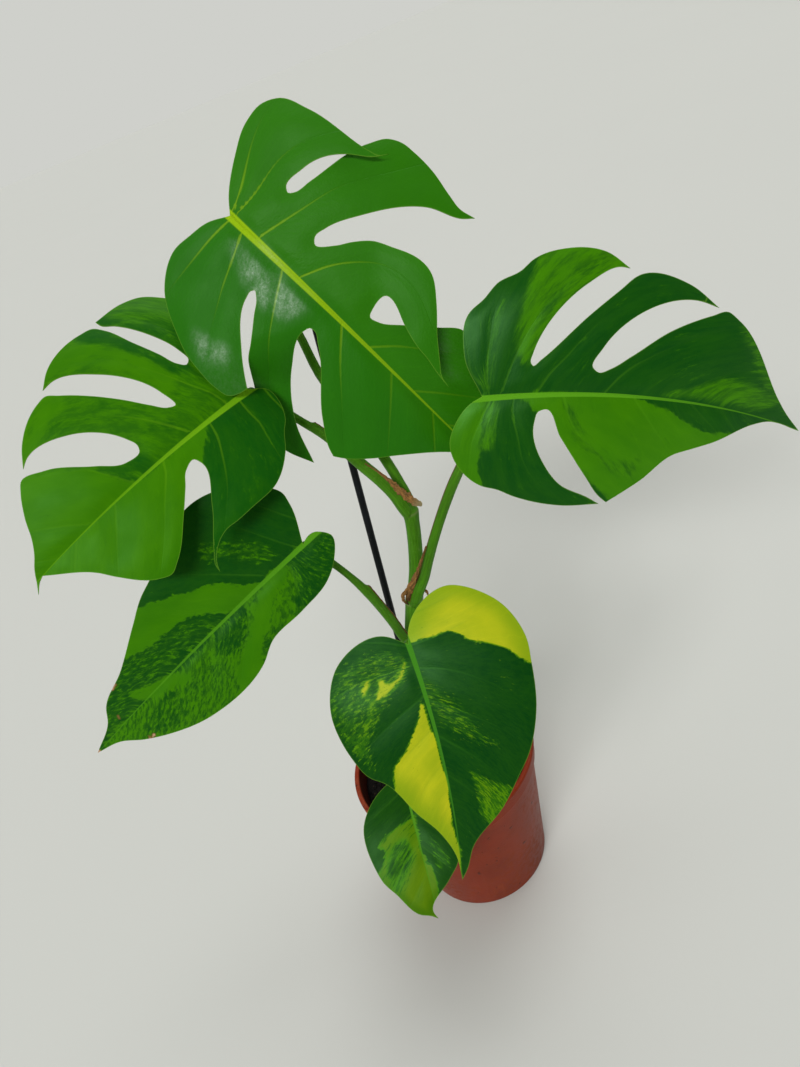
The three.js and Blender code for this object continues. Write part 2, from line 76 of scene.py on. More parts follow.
# Leaves. Each hangs from base to tip along a drooping arc; turn, droop and fold are in degrees,
# cup in degrees for each millimetre off the midrib, bow and relief in millimetres. A flat point
# is (along, across) the midrib. A bump is (along, across, radius, height). A lobe is the part
# of the blade in its region: it turns about its pivot and lifts over a distance along its axis.
# An outline row starts at a sharp corner and runs smoothly to the start of the next row.
# Side veins run outwards from the midrib. A patch is (share of light tissue, softness, outline),
# and a dry spot is (along, across, radius).
LEAVES = [
    {
        "name": "leaf_a", "slot": "leaf_green", "dark": "plain_green", "light": "lit_green",
        "base": [14, 45, 440], "tip": [82, 5, 296], "turn": 10, "droop": 35, "fold": 6,
        "cup": [0.35, 0.35], "bow": -1, "bump": (40, 62, 28, 7),
        "lobes": [
            {"pivot": [68, -22], "axis": -40, "turn": 38, "lift": 9, "over": 40,
             "region": [51, -42, 56, -50, 66, -63, 85, -68, 150, -85, 150, -62, 130, -49, 115, -43,
             100, -32, 89, -22, 83, -15, 79, -11, 80, -8]},
            {"pivot": [8, -26], "axis": -90, "turn": 21, "lift": 5, "over": 45,
             "region": [-60, -26, 12, -26, 16, -40, 19, -60, 24, -110, -60, -110]},
            {"pivot": [53, 22], "axis": 36, "turn": 0, "lift": -16, "over": 30,
             "region": [43.5, 35, 46, 38.5, 49.6, 44.9, 54.2, 49.5, 58.4, 53.3, 61.5, 57.5, 62, 62,
             70, 95, 135, 80, 113, 62, 105, 53, 90, 43, 72, 25, 61, 11]},
        ],
        "outline": [
            [-0.5, 0, -5.5, -5, -18, -23.5, -24.5, -36, -26.5, -44, -25, -48.5, -14, -55.5,
             12.5, -70, 16, -73],
            [17.5, -78, 16.5, -72, 12, -60, 10.5, -38.5, 11.5, -27, 13.5, -26, 15.5, -28,
             17.5, -36.5, 24, -68, 29, -77, 35, -80.5, 42, -81.5, 54.5, -81.5, 68.5, -79, 76, -78],
            [85, -80.5, 80.5, -75.5, 65, -67, 45, -42, 37, -26, 36, -20, 38, -17.5, 45.5, -23.5,
             50, -30, 56.5, -37, 63.5, -41, 75.5, -51, 83, -50.5, 107.5, -49.5, 114, -49.5],
            [120.5, -52.5, 113.5, -48, 103.5, -42.5, 90.5, -29, 77.5, -23.5, 77.5, -16, 79.5, -11,
             83.5, -12, 93.5, -19.5, 106, -30, 116.5, -38, 126.5, -37.5, 137.5, -31.5,
             160.5, -10.5],
            [169, 1, 162, 5, 135.5, 29.5, 129, 37.5, 117, 49],
            [113, 51.5, 109, 50, 95.5, 40.5, 70, 15.5, 64.5, 12, 62, 12.5, 61, 15, 67.5, 33,
             89, 54],
            [112.5, 64.5, 96, 70, 84.5, 70.5, 71, 65.5, 61, 55, 54.5, 48.9, 50.2, 44.3, 46.6, 37.2,
             39, 26, 34.5, 19.5, 31.5, 17.5, 30.5, 19, 31, 22.5, 46.3, 43, 53.6, 49.9],
            [59.2, 54.8, 58, 59.2, 55, 64, 47, 65.5, 36, 64.5, 26.5, 63, 18.5, 60, -2.5, 46.5,
             -10, 29.5, -8.5, 19.5, -6.5, 10.5],
        ],
        "polished": [
            [21, 52, 34, 47, 48, 44, 60, 50, 62, 62, 46, 70, 31, 65],
            [8, 8, 20, -1, 41, 1, 56, 1, 58, 13, 44, 21, 26, 19],
            [104, -30, 120, -42, 133, -33, 139, -20, 124, -16, 113, -22],
        ],
        "rib": 4.6, "rib_color": (150, 190, 12), "vein_show": 0.8, "relief": 0.7, "shine": 0.14,
        "rough": 0.44, "grain": 0.8,
        "veins": [
            [0, -2, -3, -10, -12, -26], [1, 0, 2, -13, 0, -31, 0, -51],
            [17, -3, 23, -24, 28, -42, 43, -70], [43, -2, 51, -17, 62, -29, 78, -39],
            [89, -1, 99, -11, 107, -17], [120, -1, 130, -9, 137, -14], [145, 0, 152, -5],
            [1, 1, 0, 15, 0, 23], [9, 2, 13, 11, 19, 26, 29, 46], [35, 2, 43, 16, 53, 32, 67, 51],
            [72, 1, 84, 15, 96, 27], [105, 1, 115, 12, 122, 20], [135, 1, 143, 8],
        ],
        "cover": 0.25,
        # On this leaf the patch paints the right half in the lighter green, as painted light on
        # that side.
        "patches": [
            (0.65, 14, [-40, -4, 60, -2, 172, 0, 172, -60, 80, -100, -40, -100]),
        ],
    },
    {
        "name": "leaf_b", "slot": "leaf_marbled", "dark": "mid_green", "light": "lime",
        "base": [-12, 24, 366], "tip": [-131, -22, 338], "turn": -5, "droop": 25, "fold": 6,
        "cup": [0.25, 0.35], "bow": 2, "bump": (35, -50, 28, 4),
        "outline": [
            [-1, 0.5, 3.5, 17, -1, 26.5, -10, 47.5, -8.5, 57.5, -3, 65, 4, 71.5, 13, 74],
            [30, 73.5, 29.5, 70, 25, 65.5, 16, 50.5, 11.5, 35.5, 11.5, 29.5, 14, 28, 17, 31,
             20, 39.5, 25, 52.5, 30, 66.5, 33.5, 71.5, 40, 73, 64, 68.5],
            [72, 62, 66.5, 62.5, 47.5, 50, 33, 25, 32.5, 15.5, 36, 17, 41, 23, 49, 34, 68, 54.5,
             73.5, 59, 78, 58.5, 96.5, 48.5],
            [103.5, 40, 100, 42, 77, 36.5, 60, 17.5, 58.5, 12.5, 59.5, 10, 68.5, 10, 79, 18,
             97, 32.5, 108.5, 36.5, 111.5, 33.5, 118.5, 23.5, 123.5, 14, 127.5, 9, 132, 5],
            [139.5, -4.5, 135, -1],
            [132, 0, 112.5, -18, 108, -25, 94.5, -40, 89, -42.5, 83, -40, 65.5, -26, 56, -17,
             50.5, -11.5, 44, -10, 43, -12.5, 53.5, -32, 67.5, -48, 72, -54],
            [72.5, -57.5, 70.5, -53.5, 56, -45, 50, -45.5, 41, -45.5, 24.5, -44.5, 8.5, -34.5,
             1.5, -26.5, -3, -22.5, -7, -3.5],
        ],
        "rib": 3.4, "rib_color": (112, 172, 18), "vein_show": 0.5, "relief": 0.35, "shine": 0.1,
        "rough": 0.36, "grain": 0.2, "flecks": 0.5, "stretch": 0.17, "softness": 0.34,
        "fineness": 0.74, "spread": 2.2, "rim_tone": 0,
        "veins": [
            [7, 0, 8, -10, 8, -16, 10, -23, 14, -40],
            [26, -1, 28, -8, 33, -17, 42, -30, 55, -42, 68, -53],
            [55, -1, 58, -6, 63, -11, 67, -15, 80, -28, 92, -38], [85, -1, 93, -10, 102, -20],
            [110, -1, 118, -8], [2, 2, 5, 20, 6, 40, 14, 60, 26, 71],
            [13, 2, 15, 10, 19, 17, 22, 23, 30, 38, 42, 56, 60, 66],
            [37, 3, 40, 8, 44, 14, 46, 17, 60, 33, 80, 46, 100, 42],
            [72, 1, 77, 10, 83, 19, 95, 28, 105, 35], [100, 1, 108, 8, 116, 14],
        ],
        "cover": 0.38,
        "patches": [
            (0.2, 5, [16, 58, 14, 29, 6, 28, 0, 41, 6, 55]),
            (0.85, 5, [81, 63, 48, 82, 44, 71, 36, 60, 31, 52, 26, 40, 22, 27, 33, 21, 40, 45,
             55, 62]),
            (0.08, 4, [47, 80, 44, 71, 36, 60, 31, 52, 26, 40, 22, 29, 16, 25, 14, 46, 21, 66,
             33, 81]),
            (0.78, 4, [107, 40, 90, 56, 74, 61, 68, 54, 83, 46, 101, 38]),
            (0.2, 4, [83, 19, 77, 17, 70, 11, 60, 11, 59, 0, 72, 1, 78, 10]),
            (1.0, 1, [29, -2, 43, -15, 48, -20, 92, -50, 144, -3, 110, 41, 99, 33, 83, 19, 78, 10,
             72, 1]),
            (0.0, 1, [5, 0, 29, -2, 35, -7, 43, -14, 84, -58, 44, -77, -13, -16, -7, -1]),
        ],
    },
    {
        "name": "leaf_c", "slot": "leaf_marbled", "dark": "dark_green", "light": "lime",
        "base": [94, -14, 330], "tip": [241, -28, 251], "turn": 14, "droop": 30, "fold": 6,
        "cup": [0.35, 0.35], "bow": -9,
        "outline": [
            [-3, -1, -14, -22, -14, -42, -8.5, -47, -3, -54, 7.5, -59, 12, -63.5, 30, -68.5,
             46.5, -66.5],
            [58.5, -59, 54.5, -59.5, 40, -52, 18, -19.5, 17.5, -16, 19, -14, 22, -16.5, 42, -37,
             54.5, -48.5, 63, -56, 89, -54.5],
            [105.5, -46, 95, -47.5, 50.5, -22, 47, -13, 50.5, -10.5, 56, -12.5, 64.5, -18.5,
             81, -31, 103, -42, 110.5, -45, 117.5, -42, 150, -10.5, 156.5, -6],
            [169, 0, 146, 1, 135.5, 5, 114.5, 17.5, 104.5, 22, 94.5, 26.5, 81, 40.5],
            [66, 53, 61, 49.5, 53, 40.5, 37, 20.5, 27, 7, 24.5, 8, 23.5, 12.5, 32.5, 35.5,
             40.5, 44, 56.5, 51],
            [62.5, 54, 43.5, 55.5, 19, 50, 10.5, 46, 2.5, 43.5, -15.5, 17.5, -7.5, 1.5],
        ],
        "rib": 3.2, "rib_color": (92, 160, 24), "vein_show": 0.32, "relief": 0.45, "shine": 0.2,
        "rough": 0.3, "grain": 0.25, "flecks": 0.65, "stretch": 0.1, "softness": 0.3,
        "fineness": 0.72, "spread": 1.7, "rim_tone": 0,
        "veins": [
            [0, 0, -4, -7, -9, -13, -13, -25], [0, 0, -3, -19, -3, -28, -3, -38, 0, -50],
            [6, -3, 9, -16, 14, -30, 21, -42, 31, -53, 45, -62],
            [23, -2, 27, -10, 33, -17, 44, -31, 55, -41, 75, -50, 95, -50],
            [55, -1, 60, -8, 69, -16, 74, -19, 95, -30, 115, -38],
            [90, -1, 100, -8, 120, -18, 135, -22], [125, -1, 140, -6, 152, -9],
            [1, 1, -2, 10, -5, 21, -5, 27, -4, 40], [12, 1, 12, 6, 17, 21, 20, 30, 30, 44, 42, 52],
            [35, 0, 42, 15, 52, 25, 59, 30, 68, 40], [70, 1, 80, 12, 90, 22],
            [100, 1, 110, 8, 118, 13], [130, 1, 138, 4],
        ],
        "cover": 0,
        "patches": [
            (0.56, 6, [10, -45, 12, -56, 16, -66, 26, -71, 45, -70, 59, -60, 44, -54, 34, -47,
             28, -38, 23, -31, 20, -21, 16, -15, 10, -21, 9, -35]),
            (0.42, 8, [20, -43, 26, -53, 39, -62, 47, -64, 42, -58, 34, -51, 28, -43, 24, -35]),
            (0.3, 5, [-2, -4, -3, -23, -3, -38, 1, -46, 1, -32, 1, -13, 1, -3]),
            (0.48, 5, [83, -2, 97, -7, 112, -13, 131, -15, 151, -9, 139, -4, 121, -3, 104, -2]),
            (0.35, 8, [118, -40, 126, -41, 139, -28, 158, -7, 148, -9, 137, -16, 127, -28]),
            (1.0, 1.2, [0, 1, -2, 10, 0, 20, 0, 26, -1, 31, 0, 37, 3, 43, -2, 51, -18, 31, -20, 3,
             -9, -2]),
            (0.35, 4, [0, 1, 4, 1, 6, 16, 5, 26, 1, 26, -1, 15]),
            (1.0, 1.2, [14, 0, 19, 3, 22, 7, 28, 10, 38, 27, 69, 52, 89, 50, 112, 32, 130, 14,
             125, 11, 118, 12, 110, 13, 104, 12, 99, 10, 95, 9, 90, 6, 82, 4, 72, 1, 53, 0, 34, -1,
             19, -1]),
            (0.1, 3, [28, 8, 32, 14, 39, 25, 46, 33, 57, 43, 67, 52, 59, 52, 45, 37, 32, 22]),
            (0.46, 6, [37, 5, 40, 5, 47, 15, 54, 24, 64, 31, 77, 29, 77, 40, 66, 38, 56, 32,
             45, 22, 40, 14]),
        ],
    },
    {
        "name": "leaf_d", "slot": "leaf_marbled", "dark": "dark_green", "light": "lime",
        "base": [-18, -8, 291], "tip": [-161, -29, 235], "turn": -14, "droop": 20, "fold": 8,
        "cup": [0.25, 0.25], "bow": 3,
        "outline": [
            [0, 0, -10.5, 20.5, -12, 27.5, -7.5, 36.5, 27, 53.5, 37.5, 51, 64, 41, 73.5, 38,
             87.5, 31, 110, 20, 131.5, 12.5, 137.5, 7],
            [156.5, 0, 142, -5, 131.5, -13.5, 96.5, -30.5, 58.5, -30.5, 46.5, -25, 25, -24.5,
             5, -22, -5, -16.5, -13.5, -5.5, -7.5, 1.5, -3.5, 1.5],
        ],
        "dry": [
            (120.3, 17, 0.9),
            (118.5, 17.6, 0.8),
            (131.5, 4.6, 0.7),
            (126, -15.2, 0.8),
            (128.5, -14.9, 0.8),
            (156.5, 0, 2.2),
        ],
        "rib": 3, "rib_color": (84, 152, 24), "vein_show": 0.25, "relief": 0.35, "shine": 0.16,
        "rough": 0.34, "grain": 0.2, "flecks": 0.8, "stretch": 0.3, "softness": 0.15,
        "fineness": 0.72, "spread": 1.4, "rim_tone": 0,
        "veins": [
            [8, -1, 6, -10, 2, -18], [12, -3, 16, -10, 22, -22], [41, 0, 47, -9, 56, -15, 70, -26],
            [66, -1, 78, -13, 92, -25], [92, -1, 105, -13, 116, -21], [118, -1, 130, -9, 137, -12],
            [3, 1, 9, 14, 14, 26, 22, 42], [26, 4, 43, 23, 52, 32, 62, 40],
            [50, 1, 66, 17, 82, 32], [75, 1, 90, 13, 105, 22], [100, 1, 113, 9, 122, 14],
            [125, 1, 135, 6],
        ],
        "cover": 0,
        "patches": [
            (0.34, 5, [35, 37, 23, 27, 12, 14, 14, 5, 21, 8, 30, 20, 40, 31]),
            (0.3, 5, [103, 23, 89, 18, 66, 13, 48, -1, 75, -2, 113, -1, 143, 1, 130, 18]),
            (1.0, 1, [29, 1, 34, 5, 44, 17, 48, 20, 56, 23, 61, 27, 68, 30, 72, 33, 78, 35, 83, 42,
             112, 27, 103, 23, 97, 21, 89, 18, 78, 17, 71, 16, 65, 14, 61, 12, 55, 6, 47, 0,
             40, 0]),
            (0.5, 2, [3, -1, 41, 0, 75, -2, 113, -1, 151, 0, 135, -27, 90, -43, 40, -31, -6, -18,
             -17, -5, -8, 2]),
            (0.24, 6, [14, 0, -3, 4, -12, -3, -16, -8, -9, -20, 4, -26, 22, -26, 25, -19,
             12, -10]),
            (0.3, 5, [50, 2, 42, 0, 49, -10, 61, -17, 69, -13, 67, -4]),
            (0.35, 5, [114, -5, 98, -9, 103, -18, 122, -17, 127, -11]),
            (0.45, 5, [90, -9, 75, -12, 72, -19, 87, -28, 98, -23, 99, -16]),
            (0.35, 5, [45, -19, 39, -23, 42, -29, 59, -34, 60, -28]),
            (0.95, 3, [14, -2, 31, -10, 50, -21, 68, -34, 74, -30, 55, -16, 38, -6, 17, 1]),
            (0.9, 2, [118, 8, 107, 4, 91, -3, 88, -8, 103, -4, 116, 3]),
        ],
    },
    {
        "name": "leaf_e", "slot": "leaf_dark", "dark": "deep_green", "light": "yellow",
        "base": [13, -60, 247], "tip": [-8, -115, 139], "turn": 5, "droop": 25, "fold": 5,
        "cup": [0.3, 0.3], "bow": -4.5,
        "outline": [
            [0, 0, -5, -1.5, -24, -29.5, -11, -49.5, 8, -55.5, 20.5, -54, 42.5, -50, 63, -41.5,
             73.5, -34, 86, -25, 105.5, -7, 117.5, -3],
            [123.5, 0, 108.5, 2, 93.5, 9, 82.5, 17.5, 64, 30.5, 60, 37, 49, 43.5, 25, 47.5,
             4, 37.5, -6, 10],
        ],
        "rib": 3, "rib_color": (64, 132, 28), "vein_show": 0.3, "relief": 0.3, "shine": 0.14,
        "rough": 0.34, "grain": 0.2, "flecks": 1.5, "stretch": 0.17, "softness": 0.14,
        "fineness": 0.72, "spread": 1.6, "rim_tone": 13,
        "veins": [
            [1, -1, -1, -14, -4, -26, -8, -40], [12, -1, 15, -13, 23, -28, 36, -44],
            [28, -1, 40, -20, 54, -36, 62, -40], [46, -1, 60, -16, 74, -28],
            [66, -1, 80, -14, 90, -19], [90, -1, 100, -8], [1, 1, -3, 12, -5, 22],
            [10, 1, 12, 15, 14, 30, 18, 43], [26, 1, 36, 20, 46, 36], [42, 1, 54, 18, 64, 28],
            [60, 1, 72, 13, 80, 18], [80, 1, 92, 8],
        ],
        "cover": 0,
        "patches": [
            (0.3, 8, [16, 46, 4, 34, 0, 14, 4, 4, 12, 3, 26, 17, 42, 30, 57, 34, 46, 44, 30, 49]),
            (0.28, 8, [16, -1, 26, -11, 45, -22, 57, -29, 54, -19, 45, -7, 36, 0]),
            (0.46, 5, [65, -12, 72, -20, 78, -30, 86, -26, 95, -17, 89, -13, 78, -13]),
            (0.8, 2, [6, 4, 11, 5, 16, 9, 20, 15, 23, 20, 24, 24, 21, 23, 17, 17, 16, 12, 11, 7]),
            (0.95, 2, [20, 30, 15, 27, 13, 24, 17, 26, 20, 29]),
            (0.46, 4, [24, 26, 30, 30, 38, 35, 47, 40, 47, 38, 40, 33, 31, 28, 25, 24]),
            (0.8, 2, [14, 19, 15, 17, 20, 18, 23, 21, 19, 21]),
            (1.0, 0.8, [0, 0, -1, -6, -1, -12, -2, -17, -2, -21, -1, -24, 1, -26, 3, -28, 6, -34,
             10, -42, 12, -45, 17, -49, 21, -53, 23, -60, 2, -67, -23, -54, -30, -33, -25, -11,
             -5, 2]),
            (1.0, 0.8, [27, 2, 30, 4, 35, 6, 40, 9, 44, 12, 47, 14, 52, 18, 55, 22, 60, 25, 68, 26,
             74, 30, 103, 14, 129, 3, 113, 0, 103, 0, 96, 1, 91, 2, 86, 1, 79, 1, 68, 0, 61, 1,
             54, 1, 46, 1, 40, 2, 33, 2]),
        ],
    },
    {
        "name": "leaf_f", "slot": "leaf_marbled", "dark": "young_green", "light": "pale_lime",
        "base": [-22, -45, 146], "tip": [-31, -100, 95], "turn": 0, "droop": 25, "fold": 4,
        "cup": [0.3, 0.3], "bow": 0,
        "outline": [
            [0.5, -0.5, -0.5, 4, 2, 11, 20, 28, 43.5, 27, 51, 24.5, 58, 19.5, 72, 9, 74, 4],
            [76.5, 0.5, 73, 2, 58, -11, 52, -17, 23, -22.5, 1.5, -5.5],
        ],
        "rib": 2, "rib_color": (80, 145, 30), "vein_show": 0.2, "relief": 0.35, "shine": 0.16,
        "rough": 0.34, "grain": 0.2, "flecks": 0.8, "stretch": 0.14, "softness": 0.1,
        "fineness": 0.7, "spread": 1.4, "rim_tone": 6,
        "veins": [
            [6, -1, 12, -10, 20, -20], [20, -1, 31, -12, 42, -19], [38, -1, 48, -9, 54, -14],
            [54, -1, 62, -6], [6, 1, 12, 12, 18, 24], [20, 1, 30, 14, 38, 24],
            [36, 1, 47, 13, 54, 20], [52, 1, 62, 10],
        ],
        "cover": 0,
        "patches": [
            (0.35, 5, [32, -6, 42, -13, 50, -15, 52, -7, 41, -5]),
            (0.7, 2, [20, -2, 23, 4, 24, 9, 26, 13, 28, 19, 31, 22, 33, 23, 34, 20, 44, 25, 50, 31,
             67, 21, 62, 14, 54, 10, 48, 8, 45, 3, 30, -1]),
            (0.42, 4, [35, 16, 32, 7, 38, 5, 52, 13, 57, 18, 45, 21]),
            (1.0, 1, [45, 3, 48, 8, 54, 10, 62, 15, 75, 13, 79, -1, 63, -3, 59, -4, 53, -4, 48, -3,
             43, -1, 39, 1]),
        ],
    },
]

# Stems: the middle line of each with a radius at each point.
MAIN_STEM = [
    [1.2, 3, 70, 5], [2, 3, 92, 5], [6.6, 3.5, 132.4, 5], [8.2, 5.5, 160, 5],
    [10.1, 8, 180.3, 4.9], [12.8, 10, 192.4, 4.8], [17, 11.5, 203, 4.8], [21, 13, 211.8, 4.9],
    [25.4, 14.5, 221, 4.6], [30.1, 16.5, 231.1, 4.4], [34.1, 18.5, 242.8, 4.2],
    [37.6, 20, 255.4, 4.2], [40.5, 21, 269, 4.1],
]
STALKS = {
    "leaf_a": [
        [40, 21, 267, 3], [41.1, 22.5, 273, 3.2], [40.4, 29, 284.6, 3], [38.2, 34, 297.2, 3],
        [30.7, 43, 325, 2.8], [23.2, 50, 350.2, 2.6], [21.5, 54, 372.5, 2.4],
        [17.5, 57, 406, 2.4], [14.9, 51, 431.2, 2.6],
    ],
    "leaf_b": [
        [39, 20.5, 267, 3.4], [37.7, 20, 272.3, 3.6], [35.3, 22, 281.3, 3.6],
        [31.2, 25, 291.1, 3.6], [25.9, 29, 300.4, 3.5], [19.1, 34, 312.5, 3.2],
        [12.6, 38, 322.7, 2.6], [3.8, 42, 334, 2.3], [-4.8, 43, 347.1, 2.2],
        [-10.8, 36.4, 358.4, 2.1],
    ],
    "leaf_c": [
        [22.8, 10, 216.3, 2.8], [26.9, 9.6, 223.1, 3.4], [31.5, 10.5, 227.8, 3.3],
        [38.8, 9, 240.8, 3.2], [45.7, 7, 253.1, 3],
        [67.9, 0, 288.2, 2.9], [72.5, -2, 294.7, 2.8], [84.7, -6, 311.6, 2.8],
        [92, -8, 321.9, 2.8],
    ],
    "leaf_d": [
        [12, 7, 176, 2.6], [11.4, 5, 185.4, 2.8], [8.2, 3, 203.2, 2.8], [6.4, 2, 216.2, 2.8],
        [3.3, 1, 231.8, 2.7], [0.1, 0, 244.7, 2.6], [-4.7, 0, 258.2, 2.1],
        [-8.7, 0, 267.3, 2.1], [-14.2, -1, 278.4, 2.3],
    ],
    "leaf_e": [
        [4.6, 3, 113, 2.6], [3.2, -4.5, 126, 3], [7.3, -18, 159.5, 2.8], [10.1, -35, 195.6, 2.6],
        [11.7, -50, 226.2, 2.6],
    ],
    "leaf_f": [
        [3.5, 3, 101, 2.2], [-6, -12, 110, 2.2], [-17.4, -32, 129.1, 2], [-20.6, -40, 139.8, 2],
    ],
}
STAKE_FOOT = np.array([-20.0, -10.3, 15.0])
STAKE_HEAD = np.array([31.1, 60.0, 373.9])

# Raised edges along two stalks, where the sheath of a younger leaf has opened.
WINGS = [
    [[33, 24.5, 291.5, 1.5], [27.4, 29.6, 301.6, 1.6], [20.6, 34.6, 313.7, 1.5],
     [14.1, 38.6, 323.9, 1.4], [9.8, 40.9, 330, 1.4]],
    [[13.5, 5, 186, 1.5], [10.2, 3, 203.8, 1.5], [8.4, 1.8, 216.9, 1.5], [5.3, 0.8, 232.4, 1.4],
     [3, -0.2, 243.4, 1.5], [2.2, -0.2, 246.6, 1.6]],
]

# Rings on the main stem and at the fork: the height and the swell of each.
STEM_RINGS = [(216, 0.6), (178, 0.4), (118, 0.35), (267.5, 0.6)]

# Dry sheaths: the middle line of each narrow ribbon with its half width.
FORK_SHEATH = [
    [27.1, 24.5, 304.1, 0.4], [31.1, 22.5, 298.7, 0.5], [35, 20.5, 292.6, 1],
    [38, 19, 285.7, 1.8], [41.2, 17.8, 279.4, 2.3], [43.9, 17, 275, 2.1], [47, 16.8, 271.1, 1.1],
]
NODE_SHEATH = [
    [40.5, 5, 252.7, 0.3], [35.3, 6, 244.6, 0.6], [30.1, 7.5, 236.6, 1.1], [25.6, 8.5, 230.4, 1.7],
    [22.4, 9.4, 226.2, 2.1], [20.6, 10.2, 222.6, 1.7], [19, 10.8, 218.4, 0.7],
]
NODE_CURL = [
    [24.4, 9, 229, 0.5], [21, 8.4, 227.8, 0.9], [18, 8.4, 225, 1.1], [17, 9.4, 220.8, 0.8],
    [18.6, 10.6, 216.4, 0.4],
]
NODE_STUB = [[28.4, 11.5, 222.6, 0.9], [30, 10.2, 222.1, 0.8], [31.4, 9.4, 219.8, 0.6],
             [30.8, 8.9, 216.8, 0.25]]

SHEATH_HALF_THICKNESS = 0.18

POT_HEIGHT = 104
POT_BASE_RADIUS = 43
POT_TOP_RADIUS = 60
POT_WALL = 2
BAND_HEIGHT = 12
BAND_STEP = 1.6
HOLE_RING_RADIUS = 28
INNER_WALL = (1.45 * MM, 1.75 * MM)  # how deep in the wall the painted shade on the inner wall starts
SOIL_TOP = 99
SOIL_ROOM = 0.4  # between the soil and the pot's wall
CRUMBS_ABOVE = 85
CRUMB_ROOM = 2.5  # between the crumbs and the soil's edge

# Where the photograph was taken from: place in metres, tilt and roll in radians.
CAMERA_PLACE = (0.02996, -0.3629, 0.49636)
CAMERA_PITCH = 0.558
CAMERA_ROLL = 0.396
SENSOR_WIDTH = 36

# Suns: name, side that the light comes from, width of its source in degrees, share of the key
# light. The three windows stand side by side, each turned by some degrees from the front.
SUNS = [(f"window_{number}", (0.8 * math.sin(turn), -0.8 * math.cos(turn), 0.6), 13, 0.35)
        for number, turn in enumerate(np.radians([-38, -26, -14]))]
SUNS.append(("lamps", (0.3, 0.35, 1), 40, 0.6))
DIM_SIDE = (0.0, -0.87, 0.48)  # the sky is dimmer on this side
DIM_SHARE = 0.3
SEEN_SKY = 1.01  # strength of the background that the camera sees


# Lines and flat outlines

def smooth_line(points, step, closed=False):
    """A smooth curve through the points, with a corner about every step millimetres."""
    points = np.array(points, float)
    count = len(points)
    places = points[:, :3]
    line = []
    for i in range(count if closed else count - 1):
        second = (i + 1) % count
        ends = closed or 0 < i
        before = points[i - 1] if ends else 2 * points[i] - points[second]
        ends = closed or i + 2 < count
        after = points[(i + 2) % count] if ends else 2 * points[second] - points[i]
        start, end = points[i], points[second]
        gaps = [max(np.linalg.norm((b - a)[:places.shape[1]]), 1e-6)
                for a, b in ((before, start), (start, end), (end, after))]
        leave = ((start - before) / gaps[0] - (end - before) / (gaps[0] + gaps[1])
                 + (end - start) / gaps[1]) * gaps[1]
        arrive = ((end - start) / gaps[1] - (after - start) / (gaps[1] + gaps[2])
                  + (after - end) / gaps[2]) * gaps[1]
        pieces = max(1, round(gaps[1] / step))
        for t in np.arange(pieces) / pieces:
            line.append((2 * t**3 - 3 * t**2 + 1) * start + (t**3 - 2 * t**2 + t) * leave
                        + (3 * t**2 - 2 * t**3) * end + (t**3 - t**2) * arrive)
    if not closed:
        line.append(points[-1])
    return np.array(line)


def flat(values):
    """A list of numbers as rows of two."""
    return np.array(values, float).reshape(-1, 2)


def blade_outline(rows, step):
    """The closed outline of a blade, turning left."""
    corners = []
    for row, following in zip(rows, rows[1:] + rows[:1]):
        corners.extend(smooth_line(flat(row + following[:2]), step)[:-1])
    corners = np.array(corners)
    ahead = np.roll(corners, -1, axis=0)
    area = np.sum(corners[:, 0] * ahead[:, 1] - corners[:, 1] * ahead[:, 0])
    return corners if area > 0 else corners[::-1]


def inside(outline, points):
    """Which points lie within a closed outline."""
    found = np.zeros(len(points), bool)
    for (ax, ay), (bx, by) in zip(outline, np.roll(outline, -1, axis=0)):
        if ay != by:
            crosses = (ay > points[:, 1]) != (by > points[:, 1])
            found ^= crosses & (points[:, 0] < ax + (bx - ax) * (points[:, 1] - ay) / (by - ay))
    return found


def along_line(line, points):
    """Each point's distance from a line, the side it is on, and how far along the line it is."""
    nearest = np.full(len(points), np.inf)
    side = np.zeros(len(points))
    reach = np.zeros(len(points))
    travelled = 0
    for start, span in zip(line[:-1], np.diff(line, axis=0)):
        size = max(np.linalg.norm(span), 1e-6)
        offset = points - start
        share = np.clip(offset @ span / size**2, 0, 1)
        gap = np.linalg.norm(offset - share[:, None] * span, axis=1)
        closer = gap < nearest
        nearest[closer] = gap[closer]
        turn = span[0] * offset[:, 1] - span[1] * offset[:, 0]
        side[closer] = np.sign(turn[closer])
        reach[closer] = travelled + share[closer] * size
        travelled += size
    return nearest, side, reach


def depth_inside(outline, points):
    """Distance to a closed outline: above zero within it, below zero outside."""
    closed = np.vstack([outline, outline[:1]])
    distance = along_line(closed, points)[0]
    return np.where(inside(outline, points), distance, -distance)


def smooth_step(value):
    """A smooth change from 0 to 1 as value goes from 0 to 1."""
    share = np.clip(value, 0, 1)
    return share * share * (3 - 2 * share)


def hill(offset, width):
    """A smooth hill: 1 in the middle, and almost nothing two widths away."""
    return np.exp(-(offset / width) ** 2)


def unit(vectors):
    """Rows of vectors brought to a length of one."""
    return vectors / np.linalg.norm(vectors, axis=1)[:, None]


def lengths(line):
    """How far along a line each of its points is."""
    return np.concatenate([[0], np.cumsum(np.linalg.norm(np.diff(line, axis=0), axis=1))])


def line_frame(line):
    """At each point of a line, the directions to its side and to its front."""
    ahead = unit(np.gradient(line, axis=0))
    side = unit(np.cross(ahead, VIEW_SIDE))
    return side, np.cross(side, ahead)


def depth_in_patch(outline, points):
    """Distance to the rounded edge of a patch, above zero within it."""
    return depth_inside(smooth_line(flat(outline), PATCH_STEP, closed=True), points)


def put_in_scene(name, data):
    """A new object in the scene."""
    made = bpy.data.objects.new(name, data)
    bpy.context.scene.collection.objects.link(made)
    return made


def new_mesh(name, places, faces, edges=()):
    """A mesh with its corners at places in millimetres."""
    mesh = bpy.data.meshes.new(name)
    mesh.from_pydata((np.array(places) * MM).tolist(), list(edges), faces)
    return mesh


